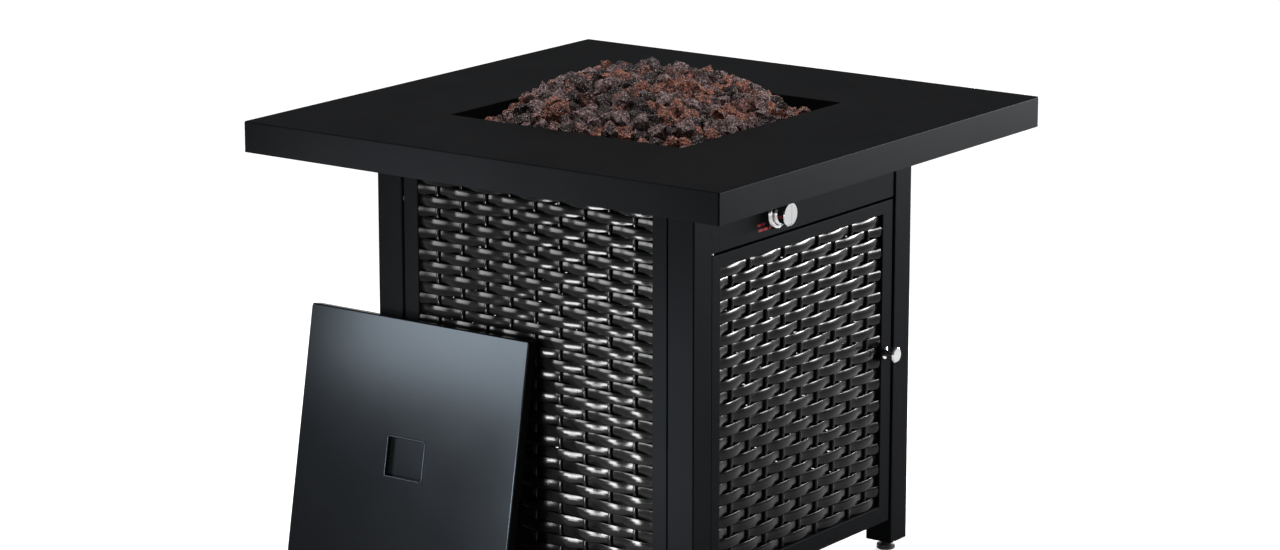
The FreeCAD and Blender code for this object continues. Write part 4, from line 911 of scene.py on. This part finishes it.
@dataclass
class StoneHeap:
    """The heap of lava stones in the burner pan, on the same grid as the heap's solid."""

    cells: int = 14
    reach: float = 0.1628
    rim: float = 0.581
    crown: float = 0.637
    roundness: float = 0.18
    fullness: float = 3.2
    gap: float = 0.011
    shift: float = 0.003
    bump: float = 0.0035
    stone: float = 0.0115
    flattest: Point = (0.9, 0.8, 0.7)
    fullest: Point = (1.5, 1.2, 1.05)
    most_turn: float = 6.28
    faces_split: int = 2
    breaks_per_metre: float = 130.0
    break_depth: float = 1.7
    lumps_per_metre: float = 170.0
    lump_middle: float = 0.4
    lump_depth: float = 0.9
    upper_sunk: float = 1.25
    lower_sunk: float = 0.6
    upper_seed: int = 5
    lower_seed: int = 6
    draws_per_seed: float = 11.0
    squareness: float = 4.0
    scatter_mix: tuple[float, float, float, float] = (3.0, 5.0, 7.0, 2.0)
    scatter_seeds: tuple[float, float, float] = (2.0, 3.0, 5.0)

    def tree(self, values: Mapping[str, Any]) -> FormTree:
        """Builds one layer of the heap: lumps on a domed grid, each turned, stretched and broken at random.

        Args:
            values: One layer's values for the tree's inputs.

        Returns:
            The tree.
        """
        form = FormTree("stone_layer", values)
        side = form["Rows"] - 1.0
        turn = self.most_turn
        grid = form.get("GeometryNodeMeshGrid", {
            "Size X": side, "Size Y": side, "Vertices X": form["Rows"], "Vertices Y": form["Rows"]})
        spots = form.get("GeometryNodeSetPosition", {"Geometry": grid, "Position": self.dome(form, side)})
        lumps = form.get("GeometryNodeInstanceOnPoints", {
            "Points": spots, "Instance": form.get("GeometryNodeMeshIcoSphere", {
                "Radius": form["Stone"], "Subdivisions": self.faces_split}),
            "Rotation": self.chance(form, (0.0, 0.0, 0.0), (turn, turn, turn), draw=1),
            "Scale": self.chance(form, self.flattest, self.fullest, draw=2)})
        tinted = form.get("GeometryNodeStoreNamedAttribute", {
            "Geometry": lumps, "Name": "tint", "Value": self.chance(form, 0.0, 1.0, draw=3)},
            data_type="FLOAT", domain="INSTANCE")
        loose = form.get("GeometryNodeRealizeInstances", {0: tinted})
        broken = form.get("GeometryNodeSetPosition", {"Geometry": loose, "Offset": self.breaks(form)})
        across, along, up = form.split(form.get("GeometryNodeInputPosition"))
        inside = [part.math("MINIMUM", form["Reach"]).math("MAXIMUM", form["Reach"] * -1.0)
                  for part in (across, along)]
        kept = form.get("GeometryNodeSetPosition", {
            "Geometry": broken, "Position": form.vector(*inside, up.math("MINIMUM", form["Top"]))})
        form.end(kept, smooth=False)
        return form

    def breaks(self, form: FormTree) -> Field:
        """Gives how far each point of a stone moves along its normal, which breaks the stone's surface.

        Args:
            form: The heap's tree.

        Returns:
            The moves.
        """
        place = form.get("GeometryNodeInputPosition")
        lump = form.get("ShaderNodeTexVoronoi", {"Vector": place, "Scale": self.lumps_per_metre},
                        output="Distance")
        grain = form.noise(place, self.breaks_per_metre, detail=3.0, rough=0.8)
        rough = (grain - 0.5) * self.break_depth + (lump - self.lump_middle) * self.lump_depth
        return form.get("ShaderNodeVectorMath", {
            0: form.get("GeometryNodeInputNormal"), "Scale": rough * form["Stone"]}, operation="SCALE")

    def chance(self, form: FormTree, low: Any, high: Any, draw: int) -> Field:
        """Gives a random value for each stone.

        Args:
            form: The heap's tree.
            low: The least value, a number or three.
            high: The greatest value.
            draw: What sets this draw apart from the others.

        Returns:
            The random field.
        """
        kind = "FLOAT_VECTOR" if isinstance(low, tuple) else "FLOAT"
        seed = form["Seed"] * self.draws_per_seed + float(draw)
        return form.get("FunctionNodeRandomValue", {"Min": low, "Max": high, "Seed": seed},
                        output="Value", data_type=kind)

    def scatter(self, column: Field, row: Field, seed: float) -> Field:
        """Gives each stone of the grid a steady scattered number from -1 to 1, as the heap's solid has it.

        Args:
            column: The stone's column.
            row: Its row.
            seed: What sets this draw apart from the others.

        Returns:
            The scattered field.
        """
        across, back, both, once = self.scatter_mix
        mixed = column * column * across + row * row * back + column * row * both + column * once + row
        return (mixed * math.sqrt(seed)).math("FRACT") * 2.0 - 1.0

    def dome(self, form: FormTree, side: Field) -> Field:
        """Gives the place of each stone's middle on the heap's dome.

        Args:
            form: The heap's tree.
            side: The side of the unmoved grid, one unit for each cell.

        Returns:
            The stones' places.
        """
        across, back, _ = form.split(form.get("GeometryNodeInputPosition"))
        column = (across + side * 0.5).math("ROUND")
        row = (back + side * 0.5).math("ROUND")
        along = (column + form["First"]) * 2.0 / form["Cells"] - 1.0
        beside = (row + form["First"]) * 2.0 / form["Cells"] - 1.0
        inward_x = (beside * beside * form["Roundness"] * -1.0 + 1.0).math("SQRT")
        inward_y = (along * along * form["Roundness"] * -1.0 + 1.0).math("SQRT")
        share = (along ** self.squareness + beside ** self.squareness) ** (1.0 / self.squareness)
        fall = share.math("MINIMUM", 1.0) ** form["Fullness"]
        level = form["Rim"] + (form["Crown"] - form["Rim"]) * (fall * -1.0 + 1.0)
        moved_x, moved_y, raised = (self.scatter(column, row, seed) for seed in self.scatter_seeds)
        return form.vector(along * inward_x * form["Reach"] + moved_x * form["Shift"],
                           beside * inward_y * form["Reach"] + moved_y * form["Shift"],
                           level + raised * form["Bump"] - form["Sunk"])

    def build(self) -> bpy.types.Object:
        """Heaps the stones as one piece: a stone on each peak of the solid, and one in each dip between them.

        Returns:
            The piece.
        """
        shape = {"Cells": self.cells, "Reach": self.reach, "Rim": self.rim, "Crown": self.crown,
                 "Roundness": self.roundness, "Fullness": self.fullness, "Stone": self.stone,
                 "Top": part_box("lava_rocks")[1].z, "Finish": STONE.material()}
        upper = shape | {"Rows": self.cells, "First": 0.5, "Shift": self.shift, "Bump": self.bump,
                         "Sunk": self.stone * self.upper_sunk, "Seed": self.upper_seed}
        lower = shape | {"Rows": self.cells + 1, "First": 0.0, "Shift": 0.0, "Bump": 0.0,
                         "Sunk": self.gap + self.stone * self.lower_sunk, "Seed": self.lower_seed}
        form = self.tree(upper)
        layers = [form.bake("upper_stones", upper), form.bake("lower_stones", lower)]
        piece = joined("lava_stones", layers)
        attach(piece, "table")
        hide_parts("lava_rocks")
        return piece


def joined(name: str, parts: list[bpy.types.Object]) -> bpy.types.Object:
    """Joins pieces into one.

    Args:
        name: The joined piece's name.
        parts: The pieces, which have the same material.

    Returns:
        The joined piece.
    """
    with bpy.context.temp_override(active_object=parts[0], selected_editable_objects=parts):
        bpy.ops.object.join()
    parts[0].name = parts[0].data.name = name
    return parts[0]


# Gas controls


@dataclass
class StemSpring:
    """The wire spring behind the stem's collar, which shortens as the gas knob is pushed."""

    node: str = "stem_spring"
    wire: float = 0.0006
    turns: float = 4.0
    points_per_turn: int = 24
    wire_sides: int = 8
    push: float = 0.003

    @staticmethod
    def tree(values: Mapping[str, Any]) -> FormTree:
        """Builds the coil: a round wire along a spiral that rises on Z.

        Args:
            values: The values for the tree's inputs.

        Returns:
            The tree.
        """
        form = FormTree("coiled_wire", values)
        line = form.get("GeometryNodeCurveSpiral", {
            "Resolution": form["Points"], "Rotations": form["Turns"], "Start Radius": form["Radius"],
            "End Radius": form["Radius"], "Height": form["Length"]})
        ring = form.get("GeometryNodeCurvePrimitiveCircle", {
            "Resolution": form["Sides"], "Radius": form["Wire"]})
        coil = form.get("GeometryNodeCurveToMesh", {
            "Curve": line, "Profile Curve": ring, "Fill Caps": True})
        form.end(coil, smooth=True)
        return form

    def build(self) -> bpy.types.Object:
        """Winds the spring in the place of its node.

        Returns:
            The piece.
        """
        low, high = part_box(self.node)
        middle = (low + high) / 2
        values = {"Turns": self.turns, "Radius": (high.x - low.x) / 2 - self.wire,
                  "Length": high.y - low.y - 2 * self.wire, "Wire": self.wire,
                  "Points": self.points_per_turn, "Sides": self.wire_sides, "Finish": ZINC.material()}
        piece = self.tree(values).bake("coiled_spring", values)
        piece.data.transform(Matrix.Translation((middle.x, low.y + self.wire, middle.z))
                             @ Matrix.Rotation(-math.pi / 2, 4, "X"))
        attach(piece, "table")
        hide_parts(self.node)
        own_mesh(piece)
        return piece


@dataclass
class KnobMarks:
    """Plain red dashes on the strip, beside the gas knob, in rows that each have a level and their dashes."""

    face: float = -0.238
    lift: float = 0.00012
    thick: float = 0.0034
    rows: tuple[tuple[float, tuple[Range, ...]], ...] = (
        (0.4860, ((-0.1045, -0.0960), (-0.0940, -0.0880))),
        (0.4795, ((-0.1020, -0.0930), (-0.0910, -0.0820), (-0.0800, -0.0755))),
    )
    box_faces: tuple[tuple[int, ...], ...] = (
        (0, 1, 3, 2), (4, 6, 7, 5), (0, 4, 5, 1), (2, 3, 7, 6), (0, 2, 6, 4), (1, 5, 7, 3))

    def build(self) -> bpy.types.Object:
        """Prints the marks on the strip above the door.

        Returns:
            The piece.
        """
        vertices: list[Point] = []
        faces: list[tuple[int, ...]] = []
        for level, dashes in self.rows:
            for dash in dashes:
                faces += [tuple(len(vertices) + corner for corner in face) for face in self.box_faces]
                vertices += [(across, depth, up) for depth in (self.face - self.lift, self.face)
                             for up in (level, level + self.thick) for across in dash]
        piece = mesh_piece("knob_marks", vertices, faces)
        piece.data.materials.append(RED_PRINT.material())
        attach(piece, "table")
        return piece


@dataclass
class PocketBead:
    """The rolled bead around the mouth of the lid's handle pocket."""

    centre: Point = (-0.27164, 0.165, 0.16912)
    lean_degrees: float = 10.5
    level: float = 0.0144
    half_tall: float = 0.0255
    half_wide: float = 0.0295
    corner: float = 0.002
    radius: float = 0.0014
    corner_steps: int = 4
    sides: int = 10

    def path(self) -> list[tuple[Vector, Vector]]:
        """Gives the bead's middle line.

        Returns:
            Its points, each with the direction away from the pocket.
        """
        path: list[tuple[Vector, Vector]] = []
        tall = self.half_tall - self.corner
        wide = self.half_wide - self.corner
        for quarter, (up, side) in enumerate(((1, 1), (-1, 1), (-1, -1), (1, -1))):
            middle = Vector((up * tall, side * wide, self.level))
            for step in range(self.corner_steps + 1):
                turn = (quarter + step / self.corner_steps) * math.pi / 2
                away = Vector((math.cos(turn), math.sin(turn), 0.0))
                path.append((middle + away * self.corner, away))
        return path

    def build(self) -> bpy.types.Object:
        """Rolls the bead on the leaning lid.

        Returns:
            The piece.
        """
        path = self.path()
        vertices: list[Point] = []
        faces: list[tuple[int, ...]] = []
        for point, away in path:
            for side in range(self.sides):
                turn = side / self.sides * math.tau
                vertices.append(tuple(point + away * self.radius * math.cos(turn)
                                      + Vector((0.0, 0.0, self.radius * math.sin(turn)))))
        for here in range(len(path)):
            onward = (here + 1) % len(path)
            for side in range(self.sides):
                beside = (side + 1) % self.sides
                faces.append((here * self.sides + side, here * self.sides + beside,
                              onward * self.sides + beside, onward * self.sides + side))
        piece = mesh_piece("pocket_bead", vertices, faces)
        piece.data.transform(Matrix.Translation(self.centre)
                             @ Matrix.Rotation(math.radians(self.lean_degrees - 90.0), 4, "Y"))
        piece.data.shade_smooth()
        piece.data.materials.append(LID_COAT.material())
        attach(piece, "lid")
        return piece


def mesh_piece(name: str, vertices: Iterable[Point], faces: Iterable[tuple[int, ...]]) -> bpy.types.Object:
    """Makes a piece from its points and faces.

    Args:
        name: The piece's name.
        vertices: The points in metres.
        faces: The faces as numbers of points.

    Returns:
        The piece, with its faces turned outwards.
    """
    mesh = bpy.data.meshes.new(name)
    mesh.from_pydata(list(vertices), [], list(faces))
    work = bmesh.new()
    work.from_mesh(mesh)
    bmesh.ops.recalc_face_normals(work, faces=work.faces)
    work.to_mesh(mesh)
    work.free()
    return in_scene(name, mesh)


# CAD nodes


@dataclass
class CarriedNodes:
    """The CAD nodes that stay as they are and only get their finish."""

    finishes: Mapping[Finish, tuple[str, ...]] = field(default_factory=lambda: NODE_FINISHES)

    def dress(self) -> int:
        """Gives each node its finish.

        Returns:
            How many nodes were dressed.
        """
        count = 0
        for finish, names in self.finishes.items():
            for name in names:
                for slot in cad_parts[name].material_slots:
                    slot.material = finish.material()
                count += 1
        return count


# Studio


@dataclass(frozen=True)
class SoftBox:
    """A rectangular studio lamp."""

    label: str
    place: Point
    aim: Point
    width: float
    height: float
    power: float
    beam_degrees: float = 180.0

    def build(self) -> bpy.types.Object:
        """Hangs the lamp.

        Returns:
            The lamp.
        """
        data = bpy.data.lights.new(self.label, "AREA")
        data.shape = "RECTANGLE"
        data.size = self.width
        data.size_y = self.height
        data.energy = self.power
        data.spread = math.radians(self.beam_degrees)
        lamp = in_scene(self.label, data)
        lamp.location = self.place
        lamp.rotation_euler = (Vector(self.aim) - Vector(self.place)).to_track_quat("-Z", "Y").to_euler()
        lamp.visible_camera = False
        return lamp


@dataclass
class Studio:
    """The pale floor, the white surroundings, the lamps and the camera."""

    floor_reach: float = 20.0
    world_light: float = 0.1
    camera_place: Point = (-4.088, -2.941, 1.572)
    camera_back: Point = (-0.7887, -0.5696, 0.2314)
    focal_length: float = 115.5
    film_width: float = 36.0
    view_range: Range = (0.1, 100.0)
    lamps: tuple[SoftBox, ...] = (
        SoftBox("ceiling", (0.0, 0.0, 2.9), (0.0, 0.0, 0.0), 1.4, 1.4, 66.0),
        SoftBox("lid_window", (-0.93, 0.55, 0.45), (-0.24, -0.2, 0.2), 0.4, 0.3, 2.0, 80.0),
        SoftBox("weave_strip", (-0.66, 0.09, 0.19), (-0.24, -0.16, 0.22), 0.12, 0.12, 3.5),
        SoftBox("low_strip", (-0.62, 0.03, 0.10), (-0.24, -0.20, 0.12), 0.08, 0.12, 0.42, 90.0),
        SoftBox("door_window", (1.50, -1.23, 0.55), (-0.05, -0.24, 0.20), 1.4, 0.12, 13.5, 80.0),
        SoftBox("right_window", (1.90, 0.45, 0.42), (0.24, 0.0, 0.28), 1.2, 0.2, 14.0, 80.0),
        SoftBox("back_window", (0.40, 1.90, 0.42), (0.0, 0.24, 0.28), 1.2, 0.2, 14.0, 80.0),
    )

    def build(self) -> None:
        """Sets up the whole studio."""
        self.lay_floor()
        self.light_world()
        for lamp in self.lamps:
            lamp.build()
        self.stand_camera()
        bpy.context.scene.view_settings.view_transform = "Standard"

    def lay_floor(self) -> None:
        """Lays the floor."""
        reach = self.floor_reach
        corners = [(-reach, -reach, 0.0), (reach, -reach, 0.0), (reach, reach, 0.0), (-reach, reach, 0.0)]
        floor = mesh_piece("studio_floor", corners, [(0, 1, 2, 3)])
        floor.data.materials.append(PAPER.material())

    def light_world(self) -> None:
        """Makes the surroundings one even pale grey."""
        world = bpy.data.worlds.new("white_surroundings")
        bpy.context.scene.world = world
        world.use_nodes = True
        graph = Graph(world.node_tree)
        world.node_tree.nodes.clear()
        sky = graph.get("ShaderNodeBackground", {"Color": (1.0, 1.0, 1.0), "Strength": self.world_light})
        graph.add("ShaderNodeOutputWorld", {"Surface": sky})

    def stand_camera(self) -> None:
        """Sets the camera where the photograph was taken from."""
        data = bpy.data.cameras.new("photo_camera")
        data.lens = self.focal_length
        data.sensor_width = self.film_width
        data.clip_start, data.clip_end = self.view_range
        camera = in_scene("photo_camera", data)
        camera.location = self.camera_place
        camera.rotation_euler = (-Vector(self.camera_back)).to_track_quat("-Z", "Y").to_euler()
        bpy.context.scene.camera = camera


def main() -> None:
    """Builds and dresses every sub-assembly."""
    logging.basicConfig(level=logging.INFO, format="%(name)s: %(message)s")
    log.info("dressed %d CAD nodes", CarriedNodes().dress())
    for assembly in (WovenPanels(), StoneHeap(), StemSpring(), KnobMarks(), PocketBead()):
        made = assembly.build()
        for piece in made if isinstance(made, list) else [made]:
            log.info("%s: %d faces", piece.name, len(piece.data.polygons))
    Studio().build()
    bpy.context.view_layer.update()


if __name__ == "__main__":
    main()
